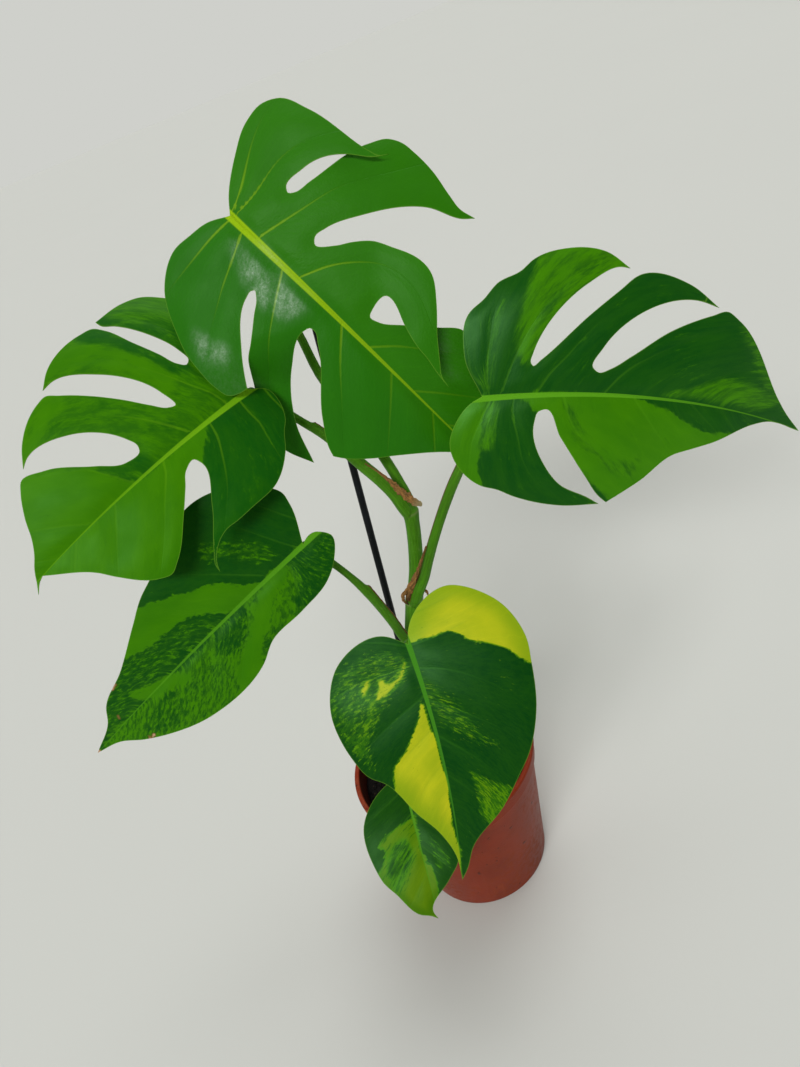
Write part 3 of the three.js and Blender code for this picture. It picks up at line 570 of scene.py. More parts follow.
def store(mesh, values):
    """Keeps named numbers, one for each corner, in a mesh."""
    for name, value in values.items():
        attribute = mesh.attributes.new(name, "FLOAT", "POINT")
        attribute.data.foreach_set("value", value.astype(np.float32))


def shade_smooth(mesh):
    """Shades every face of a mesh smooth."""
    mesh.polygons.foreach_set("use_smooth", np.ones(len(mesh.polygons), bool))


def wander(points, size, seed):
    """Gentle noise from -1 to 1 whose swells are about size millimetres long."""
    rows = np.column_stack([points / size, np.zeros((len(points), 3 - points.shape[1]))])
    rows += 17.3 * seed
    return np.array([noise.noise(Vector(row)) for row in rows])


# The blade of a leaf

class Blade:
    """The curved middle surface of one leaf, with its veins and colours."""

    def __init__(self, row):
        self.row = row
        self.seed = LEAVES.index(row) + 1
        self.base = np.array(row["base"], float)
        along = np.array(row["tip"], float) - self.base
        chord = np.linalg.norm(along)
        self.along = along / chord
        turn, self.droop, self.fold = np.radians([row["turn"], row["droop"], row["fold"]])
        facing = VIEW_SIDE - (VIEW_SIDE @ self.along) * self.along
        facing /= np.linalg.norm(facing)
        self.out = math.cos(turn) * facing + math.sin(turn) * np.cross(self.along, facing)
        self.side = np.cross(self.along, self.out)
        self.length = chord * (self.droop / 2) / math.sin(self.droop / 2)
        self.veins = [self.vein(line) for line in row["veins"]]

    def vein(self, line):
        """A side vein, drawn on past the margin."""
        points = smooth_line(flat(line), 4)
        ahead = points[-1] - points[-2]
        return np.vstack([points, points[-1] + BEYOND_MARGIN * ahead / np.linalg.norm(ahead)])

    def owners(self, points):
        """The number of the moved lobe that each point belongs to, or -1."""
        owner = np.full(len(points), -1)
        for number, lobe in enumerate(self.row.get("lobes", [])):
            owner[inside(flat(lobe["region"]), points) & (owner < 0)] = number
        return owner

    def middle(self, points, owner):
        """Places on the middle surface for flat points."""
        u, v = points[:, 0].copy(), points[:, 1].copy()
        height = np.zeros(len(points))
        for number, lobe in enumerate(self.row.get("lobes", [])):
            own = owner == number
            axis = math.radians(lobe["axis"])
            du, dv = u - lobe["pivot"][0], v - lobe["pivot"][1]
            share = smooth_step((du * math.cos(axis) + dv * math.sin(axis)) / lobe["over"]) * own
            angle = math.radians(lobe["turn"]) * share
            u = np.where(own, lobe["pivot"][0] + np.cos(angle) * du - np.sin(angle) * dv, u)
            v = np.where(own, lobe["pivot"][1] + np.sin(angle) * du + np.cos(angle) * dv, v)
            height += lobe["lift"] * share
        if "bump" in self.row:
            bump_u, bump_v, radius, lift = self.row["bump"]
            height += lift * np.exp(-((u - bump_u) ** 2 + (v - bump_v) ** 2) / radius**2)
        cup = np.radians(np.where(v > 0, self.row["cup"][1], self.row["cup"][0]))
        slope = self.fold - cup * np.abs(v)
        t = u / self.length
        across = ((math.sin(self.fold) - np.sin(slope)) / cup * np.sign(v)
                  + self.row["bow"] * 4 * t * (1 - t))
        height += (np.cos(slope) - math.cos(self.fold)) / cup
        bend = self.droop / self.length
        angle = self.droop / 2 - bend * u
        forward = (math.sin(self.droop / 2) - np.sin(angle)) / bend - height * np.sin(angle)
        upward = (np.cos(angle) - math.cos(self.droop / 2)) / bend + height * np.cos(angle)
        return (self.base + forward[:, None] * self.along + upward[:, None] * self.out
                + across[:, None] * self.side)

    def surface(self, points):
        """Places on the middle surface and the directions that its upper face looks in."""
        owner = self.owners(points)
        near = 0.2
        here = self.middle(points, owner)
        over_u = self.middle(points + [near, 0], owner) - here
        over_v = self.middle(points + [0, near], owner) - here
        return here, unit(np.cross(over_v, over_u))

    def rib_half(self, u):
        """Half the width of the midrib at a distance along it."""
        left = 1 - np.clip(u / self.length, 0, 1)
        return 0.5 * self.row["rib"] * (0.14 + 0.86 * left**1.5)

    def among_veins(self, points):
        """Where each point lies among the side veins: number, spacing and distance outwards."""
        phase, spacing, reach = np.zeros((3, len(points)))
        upper = points[:, 1] >= 0
        for half, chosen, start in ((-1, ~upper, LOWER_NUMBER), (1, upper, 0)):
            own = points[chosen]
            lines = [line for line in self.veins if np.sign(line[-1, 1]) == half]
            ahead, outward = [], []
            for line in lines:
                distance, side, travelled = along_line(line, own)
                ahead.append(-half * side * distance)
                outward.append(travelled)
            ahead, outward = np.array(ahead), np.array(outward)
            passed = np.sum(ahead > 0, axis=0)
            before = np.clip(passed - 1, 0, len(lines) - 1)
            after = np.clip(passed, 0, len(lines) - 1)
            column = np.arange(len(own))
            back, front = np.abs(ahead[before, column]), np.abs(ahead[after, column])
            width = np.maximum(back + front, 0.5)
            share = back / width
            first, last = passed == 0, passed == len(lines)
            number = np.select(
                [first, last], [-front / VEIN_SPACING, len(lines) - 1 + back / VEIN_SPACING],
                passed - 1 + share)
            phase[chosen] = number + start
            spacing[chosen] = np.where(first | last, VEIN_SPACING, width)
            share = np.select([first, last], [1, 0], share)
            reach[chosen] = ((1 - share) * outward[before, column]
                             + share * outward[after, column])
        return phase, spacing, reach

    def light_share(self, points):
        """How much of the tissue is light at each point, from 0 to 1; on the top leaf this is
        painted light on its right half.
        """
        share = np.full(len(points), float(self.row["cover"]))
        for value, softness, outline in self.row["patches"]:
            part = smooth_step(depth_in_patch(outline, points) / max(softness, 1.6) + 0.5)
            share += part * (value - share)
        return share

    def polish(self, points):
        """How glossy the upper face is at each point, from 0 to 1."""
        return np.max([smooth_step(depth_in_patch(outline, points) / 9 + 0.3)
                       for outline in self.row["polished"]], axis=0)

    def dryness(self, points):
        """How dry and brown the tissue is at each point, from 0 to 1."""
        gaps = [radius - np.hypot(points[:, 0] - u, points[:, 1] - v)
                for u, v, radius in self.row["dry"]]
        return smooth_step(np.max(gaps, axis=0) / DRY_EDGE + 0.6)

    def relief(self, points, phase, spacing, rim):
        """Height above the plain surface: sunken veins, raised tissue between, slow waves."""
        part = phase - np.floor(phase)
        swell = np.sin(math.pi * part) ** 2 * np.clip(spacing / VEIN_SPACING, 0, 1.4)
        groove = hill(np.minimum(part, 1 - part) * spacing, 1.8)
        off_rib = np.abs(points[:, 1]) - self.rib_half(points[:, 0])
        fade = smooth_step(rim / 9) * smooth_step(off_rib / 5)
        valley = 0.5 * hill(np.maximum(off_rib, 0), 2.5)
        waves = 0.7 * wander(points, 34, self.seed) + 0.1 * wander(points, 12, self.seed + 9)
        return self.row["relief"] * (fade * (0.75 * swell - 0.4 * groove) - valley) + waves


def blade_points(blade, outline, cell):
    """Flat points inside a blade: even rows, and closer lines along the midrib."""
    low, high = outline.min(axis=0), outline.max(axis=0)
    rows = []
    for number, v in enumerate(np.arange(low[1], high[1], cell * math.sqrt(0.75))):
        start = low[0] + (0.5 * cell if number % 2 else 0)
        rows.extend((u, v) for u in np.arange(start, high[0], cell))
    rows = np.array(rows)
    clear = np.abs(rows[:, 1]) > blade.rib_half(rows[:, 0]) + 0.6 * cell
    rib = [(u, blade.rib_half(u) * share)
           for u in np.arange(0.5 * cell, high[0], cell) for share in (-1, -0.5, 0, 0.5, 1)]
    points = np.vstack([rows[clear], rib])
    return points[depth_inside(outline, points) > 0.55 * cell]


def filled_outline(outline, inner):
    """Triangles that fill an outline, with corners on it and at the inner points."""
    given = [Vector(point) for point in np.vstack([outline, inner])]
    found, _, faces, _, _, _ = geometry.delaunay_2d_cdt(
        given, [], [list(range(len(outline)))], 1, 1e-4)
    return np.array(found), np.array(faces)


def blade_mesh(blade, thickness, cell, materials):
    """The closed mesh of a blade, with attributes for its veins and colours."""
    outline = blade_outline(blade.row["outline"], cell * 0.8)
    inner = blade_points(blade, outline, cell)
    points, faces = filled_outline(outline, inner)
    narrow = faces[faces.max(axis=1) < len(outline)]
    points, faces = filled_outline(outline, np.vstack([inner, points[narrow].mean(axis=1)]))
    count = len(points)
    edges = {(a, b) for face in faces for a, b in zip(face, np.roll(face, -1))}
    border = [(a, b) for a, b in edges if (b, a) not in edges]

    rim = np.abs(depth_inside(outline, points))
    phase, spacing, reach = blade.among_veins(points)
    here, facing = blade.surface(points)
    here = here + facing * blade.relief(points, phase, spacing, rim)[:, None]
    half = facing * (0.5 * thickness * (0.55 + 0.45 * smooth_step(rim / 4)))[:, None]

    sides = [(a, b, b + count, a + count) for a, b in border]
    mesh = new_mesh(blade.row["name"], np.vstack([here + half, here - half]),
                    faces[:, ::-1].tolist() + (faces + count).tolist() + sides)
    for material in materials:
        mesh.materials.append(material)
    numbers = np.zeros(len(mesh.polygons), int)
    numbers[len(faces):2 * len(faces)] = 1
    mesh.polygons.foreach_set("material_index", numbers)
    values = {
        "along": points[:, 0], "across": points[:, 1], "phase": phase, "spacing": spacing,
        "reach": reach, "rim": rim, "light": blade.light_share(points),
    }
    if "polished" in blade.row:
        values["polish"] = blade.polish(points)
    if "dry" in blade.row:
        values["dryness"] = blade.dryness(points)
    store(mesh, {name: np.tile(value, 2) for name, value in values.items()})
    shade_smooth(mesh)
    mesh.set_sharp_from_angle(angle=math.radians(50))
    return mesh


# Geometry Nodes trees

def new_tree(name, sockets):
    """A Geometry Nodes tree with named inputs; returns the tree and its two end nodes."""
    tree = bpy.data.node_groups.new(name, "GeometryNodeTree")
    tree.interface.new_socket("Geometry", in_out="INPUT", socket_type="NodeSocketGeometry")
    for socket, kind in sockets.items():
        tree.interface.new_socket(socket, in_out="INPUT", socket_type=f"NodeSocket{kind}")
    tree.interface.new_socket("Geometry", in_out="OUTPUT", socket_type="NodeSocketGeometry")
    return tree, tree.nodes.new("NodeGroupInput"), tree.nodes.new("NodeGroupOutput")


def add_node(tree, kind, inputs=None, **settings):
    """A node whose inputs are set to values or joined to other nodes' outputs."""
    node = tree.nodes.new(kind)
    for name, value in settings.items():
        setattr(node, name, value)
    for name, value in (inputs or {}).items():
        if isinstance(value, bpy.types.NodeSocket):
            tree.links.new(value, node.inputs[name])
        else:
            node.inputs[name].default_value = value
    return node


def instances(tree, points, shape, **inputs):
    """A copy of a shape at each point, as real geometry."""
    copies = add_node(tree, "GeometryNodeInstanceOnPoints", {
        "Points": points, "Instance": shape.outputs["Mesh"], **inputs})
    return add_node(tree, "GeometryNodeRealizeInstances", {"Geometry": copies.outputs[0]})


def finish_tree(tree, ends, shape, material):
    """Ends a tree in smooth, real geometry with one material."""
    real = add_node(tree, "GeometryNodeRealizeInstances", {"Geometry": shape})
    smooth = add_node(tree, "GeometryNodeSetShadeSmooth", {"Geometry": real.outputs[0]})
    painted = add_node(tree, "GeometryNodeSetMaterial",
                       {"Geometry": smooth.outputs[0], "Material": material})
    tree.links.new(painted.outputs[0], ends.inputs[0])


def made_by(tree, source, inputs):
    """Runs a tree on a mesh and returns the result as a new plain mesh."""
    holder = put_in_scene("source", source)
    modifier = holder.modifiers.new(tree.name, "NODES")
    modifier.node_group = tree
    for item in tree.interface.items_tree:
        if item.item_type == "SOCKET" and item.in_out == "INPUT" and item.name in inputs:
            modifier[item.identifier] = inputs[item.name]
    return plain_mesh(holder)


def plain_mesh(holder):
    """The mesh that an object's modifiers give; the object is removed."""
    graph = bpy.context.evaluated_depsgraph_get()
    graph.update()
    mesh = bpy.data.meshes.new_from_object(holder.evaluated_get(graph), depsgraph=graph)
    holder.modifiers.clear()
    bpy.data.objects.remove(holder)
    return mesh


def tube_tree():
    """Round capped tubes along lines, each as thick as the line's radius attribute."""
    tree, start, end = new_tree("tubes_along_lines", {"Sides": "Int", "Material": "Material"})
    curve = add_node(tree, "GeometryNodeMeshToCurve", {"Mesh": start.outputs["Geometry"]})
    radius = add_node(tree, "GeometryNodeInputNamedAttribute", {"Name": "radius"},
                      data_type="FLOAT")
    ring = add_node(tree, "GeometryNodeCurvePrimitiveCircle",
                    {"Resolution": start.outputs["Sides"], "Radius": 1.0})
    tube = add_node(tree, "GeometryNodeCurveToMesh", {
        "Curve": curve.outputs[0], "Profile Curve": ring.outputs[0],
        "Scale": radius.outputs[0], "Fill Caps": True})
    finish_tree(tree, end, tube.outputs[0], start.outputs["Material"])
    return tree


def line_mesh(lines):
    """Lines of [x, y, z, radius] rows as one mesh of edges."""
    places, edges = [], []
    for line in lines:
        edges.extend((len(places) + i, len(places) + i + 1) for i in range(len(line) - 1))
        places.extend(line)
    places = np.array(places)
    mesh = new_mesh("lines", places[:, :3], [], edges)
    store(mesh, {"radius": places[:, 3] * MM})
    return mesh


def hole_tree():
    """Cuts a ring of round holes through a pot's floor."""
    tree, start, end = new_tree("drain_holes", {
        "Hole Count": "Int", "Hole Radius": "Float", "Circle Radius": "Float",
        "Material": "Material"})
    ring = add_node(tree, "GeometryNodeMeshCircle", {
        "Vertices": start.outputs["Hole Count"], "Radius": start.outputs["Circle Radius"]})
    turned = add_node(tree, "GeometryNodeTransform", {
        "Geometry": ring.outputs[0], "Rotation": (0, 0, math.pi / 8)})
    cutter = add_node(tree, "GeometryNodeMeshCylinder", {
        "Vertices": 28, "Radius": start.outputs["Hole Radius"], "Depth": 4 * POT_WALL * MM})
    cutters = instances(tree, turned.outputs[0], cutter)
    cut = add_node(tree, "GeometryNodeMeshBoolean",
                   {"Mesh 1": start.outputs["Geometry"], "Mesh 2": cutters.outputs[0]},
                   operation="DIFFERENCE")
    finish_tree(tree, end, cut.outputs[0], start.outputs["Material"])
    return tree


def crumb_tree():
    """Scatters small uneven crumbs over the top of the soil."""
    tree, start, end = new_tree("soil_crumbs", {
        "Crumbs per Area": "Float", "Crumb Size": "Float", "Reach": "Float", "Seed": "Int",
        "Material": "Material"})
    place = add_node(tree, "GeometryNodeInputPosition")
    parts = add_node(tree, "ShaderNodeSeparateXYZ", {"Vector": place.outputs[0]})
    level = add_node(tree, "ShaderNodeCombineXYZ",
                     {"X": parts.outputs[0], "Y": parts.outputs[1]})
    away = add_node(tree, "ShaderNodeVectorMath", {"Vector": level.outputs[0]},
                    operation="LENGTH")
    within = add_node(tree, "FunctionNodeCompare", {"A": away.outputs["Value"],
                      "B": start.outputs["Reach"]}, data_type="FLOAT", operation="LESS_THAN")
    high = add_node(tree, "FunctionNodeCompare", {"A": parts.outputs[2], "B": CRUMBS_ABOVE * MM},
                    data_type="FLOAT", operation="GREATER_THAN")
    both = add_node(tree, "FunctionNodeBooleanMath", {0: within.outputs[0], 1: high.outputs[0]},
                    operation="AND")
    spots = add_node(tree, "GeometryNodeDistributePointsOnFaces", {
        "Mesh": start.outputs["Geometry"], "Selection": both.outputs[0],
        "Density": start.outputs["Crumbs per Area"], "Seed": start.outputs["Seed"]})
    crumb = add_node(tree, "GeometryNodeMeshIcoSphere",
                     {"Radius": start.outputs["Crumb Size"], "Subdivisions": 2})
    turn = add_node(tree, "FunctionNodeRandomValue", {
        1: (6.28, 6.28, 6.28), "Seed": start.outputs["Seed"]}, data_type="FLOAT_VECTOR")
    size = add_node(tree, "FunctionNodeRandomValue", {
        0: (0.3, 0.25, 0.2), 1: (1.2, 0.9, 0.7), "Seed": 5}, data_type="FLOAT_VECTOR")
    crumbs = instances(tree, spots.outputs[0], crumb, Rotation=turn.outputs[0],
                       Scale=size.outputs[0])
    rough = add_node(tree, "ShaderNodeTexNoise", {"Scale": 900.0, "Detail": 1.0})
    centred = add_node(tree, "ShaderNodeVectorMath", {0: rough.outputs["Color"],
                       1: (0.5, 0.5, 0.5)}, operation="SUBTRACT")
    shift = add_node(tree, "ShaderNodeVectorMath", {"Vector": centred.outputs[0],
                     "Scale": 1.6 * MM}, operation="SCALE")
    uneven = add_node(tree, "GeometryNodeSetPosition",
                      {"Geometry": crumbs.outputs[0], "Offset": shift.outputs[0]})
    whole = add_node(tree, "GeometryNodeJoinGeometry", {0: uneven.outputs[0]})
    tree.links.new(start.outputs["Geometry"], whole.inputs[0])
    finish_tree(tree, end, whole.outputs[0], start.outputs["Material"])
    return tree


# Shader nodes

SHADER_SOCKETS = {"color": "Base Color", "roughness": "Roughness", "normal": "Normal",
                  "coat": "Coat Weight"}


class Shading:
    """Adds shader nodes to a material or a group."""

    def __init__(self, tree):
        self.tree = tree
        self.shader = tree.nodes.get("Principled BSDF")

    def node(self, kind, inputs=None, **settings):
        return add_node(self.tree, kind, inputs, **settings)

    def math(self, operation, first, second=0.0):
        return self.node("ShaderNodeMath", {0: first, 1: second}, operation=operation).outputs[0]

    def times(self, first, second):
        return self.math("MULTIPLY", first, second)

    def plus(self, first, second):
        return self.math("ADD", first, second)

    def step(self, value, low, high, to_low=0.0, to_high=1.0, kind="SMOOTHSTEP"):
        """A change from to_low to to_high as value goes from low to high."""
        return self.node("ShaderNodeMapRange", {
            "Value": value, "From Min": low, "From Max": high,
            "To Min": to_low, "To Max": to_high}, interpolation_type=kind).outputs[0]

    def mix(self, share, first, second, blend="MIX"):
        first, second = ((*value[:3], 1) if isinstance(value, (tuple, list)) else value
                         for value in (first, second))
        return self.node("ShaderNodeMix", {0: share, 6: first, 7: second},
                         data_type="RGBA", blend_type=blend).outputs[2]

    def tinted(self, share, color, by):
        """A colour that is partly multiplied by another."""
        return self.mix(share, color, self.mix(1.0, color, by, "MULTIPLY"))

    def noise(self, vector, scale, detail=2.0, roughness=0.5):
        return self.node("ShaderNodeTexNoise", {
            "Vector": vector, "Scale": scale, "Detail": detail,
            "Roughness": roughness}).outputs[0]

    def lane(self, across, along, third=0.0):
        """A place on a pattern that is stretched along the veins or a stem."""
        return self.node("ShaderNodeCombineXYZ",
                         {"X": across, "Y": along, "Z": third}).outputs[0]

    def attribute(self, name):
        return self.node("ShaderNodeAttribute", attribute_name=name).outputs["Fac"]

    def place(self):
        return self.node("ShaderNodeTexCoord").outputs["Object"]

    def group(self, name, inputs):
        return self.node("ShaderNodeGroup", inputs, node_tree=shader_group(name)).outputs

    def detail(self, place, blotch, skin, speck):
        """Blotches, skin and specks, each at its own scale."""
        return self.group("surface_detail", {
            "Place": place, "Blotch Scale": blotch, "Skin Scale": skin, "Speck Scale": speck})

    def streaks(self, around, lines, stretch):
        """Lengthwise streaks over an attribute that goes round or across the piece."""
        return self.group("lengthwise_streaks", {
            "Around": self.attribute(around), "Along": self.attribute("along"),
            "Lines": lines, "Stretch": stretch})

    def bump(self, height, distance, strength=1.0):
        """Relief whose full height is a distance in millimetres."""
        return self.node("ShaderNodeBump", {
            "Height": height, "Distance": distance * MM, "Strength": strength}).outputs[0]

    def finish(self, **sources):
        """Joins outputs to the shader: color, roughness, normal, coat."""
        for name, source in sources.items():
            self.tree.links.new(source, self.shader.inputs[SHADER_SOCKETS[name]])


def vein_group(s, start):
    """Midrib, side veins and fine veins of a blade."""
    left = s.step(start["Along"], 0.0, start["Length"], 1.0, 0.0, "LINEAR")
    share = s.plus(s.times(s.math("POWER", left, 1.5), 0.43), 0.07)
    half = s.times(start["Rib Width"], share)
    off = s.math("DIVIDE", s.math("ABSOLUTE", start["Across"]), half)
    near = s.times(s.math("PINGPONG", start["Phase"], 0.5), start["Spacing"])
    width = s.step(start["Reach"], 0.0, 45.0, 0.85, 0.4)
    lane = s.lane(s.times(start["Phase"], 6.0), s.times(start["Reach"], 0.12))
    drift = s.times(s.noise(lane, 1.0, 2.0), 0.9)
    fine_phase = s.plus(s.times(start["Phase"], 4.0), drift)
    fine_near = s.times(s.math("PINGPONG", fine_phase, 0.5), start["Spacing"])
    thread = s.lane(s.times(start["Phase"], 16.0), s.times(start["Reach"], 0.3))
    return {"Rib": s.step(off, 0.75, 1.15, 1.0, 0.0),
            "Side Veins": s.step(s.math("DIVIDE", near, width), 0.3, 1.0, 1.0, 0.0),
            "Fine Veins": s.step(fine_near, 0.2, 1.6, 1.0, 0.0),
            "Grain": s.noise(thread, 1.0, 2.0, 0.6)}


def marbling_group(s, start):
    """Light tissue in fine streaks that follow the side veins, with slow changes of tone."""
    levels = []
    for shift in (0.0, 7.7):
        lane = s.lane(s.times(start["Phase"], 13.0), s.times(start["Reach"], start["Stretch"]),
                      s.plus(start["Seed"], shift))
        noise = s.noise(lane, start["Fleck Scale"], 5.0, start["Fineness"])
        levels.append(s.step(noise, 0.3, 0.7, kind="LINEAR"))
    edge = start["Softness"]
    light = s.step(s.math("SUBTRACT", start["Cover"], levels[0]), s.times(edge, -1.0), edge)
    both = s.plus(s.times(levels[0], 0.5), s.times(levels[1], 0.5))
    wider = s.times(start["Cover"], start["Spread"])
    half = s.step(s.math("SUBTRACT", wider, both), s.times(edge, -1.5), s.times(edge, 1.5))
    slow = s.lane(s.times(start["Phase"], 2.2), s.times(start["Reach"], 0.045), start["Seed"])
    tone = s.step(s.noise(slow, 1.0, 3.0, 0.55), 0.3, 0.7)
    return {"Light": light, "Half Light": half, "Streaks": levels[1], "Tone": tone}


def surface_group(s, start):
    """Slow blotches, a pebbled skin and small pits, from places in metres."""
    blotch = s.step(s.noise(start["Place"], start["Blotch Scale"], 3.0, 0.55), 0.3, 0.7)
    skin = s.noise(start["Place"], start["Skin Scale"], 3.0, 0.6)
    specks = s.step(s.noise(start["Place"], start["Speck Scale"], 2.0, 0.5), 0.66, 0.74)
    return {"Blotches": blotch, "Skin": skin, "Specks": specks}


def streak_group(s, start):
    """Lines that run lengthwise on a stem or a dry sheath."""
    lane = s.lane(s.times(start["Around"], start["Lines"]),
                  s.times(start["Along"], start["Stretch"]))
    return {"Broad": s.step(s.noise(lane, 1.0, 3.0, 0.6), 0.3, 0.7),
            "Fine": s.step(s.noise(lane, 4.0, 3.0, 0.7), 0.3, 0.7)}


GROUPS = {
    "leaf_veins": (vein_group, ["Along", "Across", "Length", "Rib Width", "Phase", "Spacing",
                                "Reach"]),
    "leaf_marbling": (marbling_group, ["Phase", "Reach", "Cover", "Spread", "Seed", "Softness",
                                       "Fineness", "Fleck Scale", "Stretch"]),
    "surface_detail": (surface_group, ["Place", "Blotch Scale", "Skin Scale", "Speck Scale"]),
    "lengthwise_streaks": (streak_group, ["Around", "Along", "Lines", "Stretch"]),
}


def shader_group(name):
    """One of the shared effects, built the first time that it is asked for."""
    if name in bpy.data.node_groups:
        return bpy.data.node_groups[name]
    make, inputs = GROUPS[name]
    tree = bpy.data.node_groups.new(name, "ShaderNodeTree")
    for socket in inputs:
        kind = "NodeSocketVector" if socket == "Place" else "NodeSocketFloat"
        tree.interface.new_socket(socket, in_out="INPUT", socket_type=kind)
    start = tree.nodes.new("NodeGroupInput")
    end = tree.nodes.new("NodeGroupOutput")
    for socket, value in make(Shading(tree), start.outputs).items():
        tree.interface.new_socket(socket, in_out="OUTPUT", socket_type="NodeSocketFloat")
        tree.links.new(value, end.inputs[socket])
    return tree


def new_material(name, shine, tint=(1, 1, 1, 1)):
    """An empty material with a Principled shader, and its shading."""
    material = bpy.data.materials.new(name)
    material.use_nodes = True
    shading = Shading(material.node_tree)
    shading.shader.inputs["Specular IOR Level"].default_value = shine
    shading.shader.inputs["Specular Tint"].default_value = tint
    return material, shading


def marbled(s, blade, dark, light, lime, phase, reach):
    """Colours of a blade whose light tissue lies in streaks between the side veins."""
    row = blade.row
    cover = s.attribute("light")
    marbling = s.group("leaf_marbling", {
        "Phase": phase, "Reach": reach, "Cover": cover, "Spread": row["spread"],
        "Seed": 3.7 * blade.seed, "Softness": row["softness"], "Fineness": row["fineness"],
        "Fleck Scale": row["flecks"], "Stretch": row["stretch"]})
    greener = tuple(a * b for a, b in zip(light, (0.5, 0.72, 0.6)))
    tint = s.mix(s.times(marbling["Tone"], 0.5), light, greener)
    if row["rim_tone"]:
        tint = s.mix(s.step(s.attribute("rim"), 1.0, row["rim_tone"], 0.9, 0.0), tint, greener)
    tint = s.mix(s.step(cover, 0.45, 0.8, 0.85, 0.0), tint, lime)
    halfway = s.mix(0.5, dark, lime)
    color = s.mix(s.times(marbling["Tone"], 0.14), dark, halfway)
    color = s.mix(s.step(marbling["Streaks"], 0.3, 0.8, 0.14, 0.0), color, halfway)
    color = s.mix(marbling["Half Light"], color, halfway)
    return s.mix(marbling["Light"], color, tint)


def blade_material(blade, dark, light, lime, upper):
    """Waxy upper face or paler matt underside of one leaf."""
    row = blade.row
    plain = row["name"] == "leaf_a"
    material, s = new_material(f"{row['name']}_{'upper' if upper else 'under'}",
                               row["shine"] if upper else 0.25,
                               (0.7, 1, 0.65, 1) if plain else GREEN_GLOSS)
    along, across, phase, spacing, reach, rim = (
        s.attribute(name) for name in ("along", "across", "phase", "spacing", "reach", "rim"))
    veins = s.group("leaf_veins", {
        "Along": along, "Across": across, "Length": blade.length, "Rib Width": row["rib"],
        "Phase": phase, "Spacing": spacing, "Reach": reach})
    detail = s.detail(s.place(), 45.0, 1100.0, 700.0)
    if plain:
        # Painted light: the top leaf's right half is mixed towards a lighter, yellower green.
        color = s.mix(s.attribute("light"), dark, light)
    else:
        color = marbled(s, blade, dark, light, lime, phase, reach)
    color = s.tinted(s.times(detail["Blotches"], 0.3), color, (0.7, 0.8, 0.75))
    color = s.tinted(s.times(veins["Fine Veins"], 0.12), color, (1.6, 1.35, 1.3))
    rib_color = srgb(*row["rib_color"])
    vein_show = s.times(s.step(reach, 0.0, 50.0, row["vein_show"], 0.0),
                        s.step(along, 0.25 * blade.length, 0.7 * blade.length, 1.0, 0.3))
    color = s.mix(s.times(veins["Side Veins"], vein_show), color, s.mix(0.55, color, rib_color))
    if not upper:
        color = s.mix(0.45, color, srgb(132, 164, 96))
        rib_color = srgb(140, 176, 76)
    rib_show = s.step(along, 0.0, blade.length, 1.0, 0.45)
    color = s.mix(s.times(veins["Rib"], rib_show), color, rib_color)
    # Painted highlight: a pale line along the margin, where the edge of the blade catches the
    # light.
    color = s.mix(s.step(rim, 0.1, 0.45, 0.4, 0.0), color, srgb(120, 165, 50))
    if "dry" in row:
        dryness = s.attribute("dryness")
        color = s.mix(s.step(dryness, 0.15, 0.5, 0.0, 0.9), color, srgb(124, 92, 48))
        color = s.mix(s.step(dryness, 0.4, 0.8, 0.0, 0.9), color, srgb(196, 158, 126))
    base = row["rough"] if upper else 0.55
    roughness = s.plus(s.step(detail["Blotches"], 0.0, 1.0, base, base + 0.08),
                       s.times(veins["Rib"], 0.3))
    height = s.plus(s.plus(s.times(detail["Skin"], 0.5), s.times(veins["Grain"], 0.7)),
                    s.times(veins["Side Veins"], -0.4))
    s.finish(color=color, roughness=roughness, normal=s.bump(height, 0.25, row["grain"]))
    if upper and "polished" in row:
        s.shader.inputs["Coat Roughness"].default_value = 0.33
        speckle = s.times(s.step(veins["Grain"], 0.3, 0.7, 0.35, 0.9),
                          s.step(detail["Skin"], 0.35, 0.65, 0.5, 1.0))
        s.finish(coat=s.times(s.attribute("polish"), speckle))
    return material


def blotched_material(name, shine, scales, colors, rough, relief, blotches=1.0,
                      specks=0.0, speck_color=(0, 0, 0)):
    """A plain finish of two colours in blotches, with specks, a rough skin and a relief."""
    material, s = new_material(name, shine)
    detail = s.detail(s.place(), *scales)
    shade = s.mix(s.times(detail["Blotches"], blotches), *colors)
    shade = s.mix(s.times(detail["Specks"], specks), shade, speck_color)
    s.finish(color=shade, roughness=s.step(detail["Blotches"], 0.0, 1.0, *rough),
             normal=s.bump(detail["Skin"], relief))
    return material


def rib_material(color):
    """Raised veins on the underside of the leaves."""
    return blotched_material("under_ribs", 0.4, (80.0, 1200.0, 500.0),
                             (color, scaled(color, 0.75)), (0.45, 0.6), 0.1)


def soil_material(color):
    """Damp dark potting mix with brown fibres."""
    return blotched_material("potting_soil", 0.12, (120.0, 1300.0, 380.0),
                             (color, scaled(color, 2.6)), (0.75, 0.95), 0.6,
                             specks=0.6, speck_color=srgb(96, 70, 46))


def stake_material(color):
    """Black moulded plastic with faint dust."""
    return blotched_material("stake_plastic", 0.2, (130.0, 900.0, 650.0),
                             (color, srgb(24, 27, 34)), (0.4, 0.6), 0.15, blotches=0.4,
                             specks=0.3, speck_color=srgb(96, 98, 102))


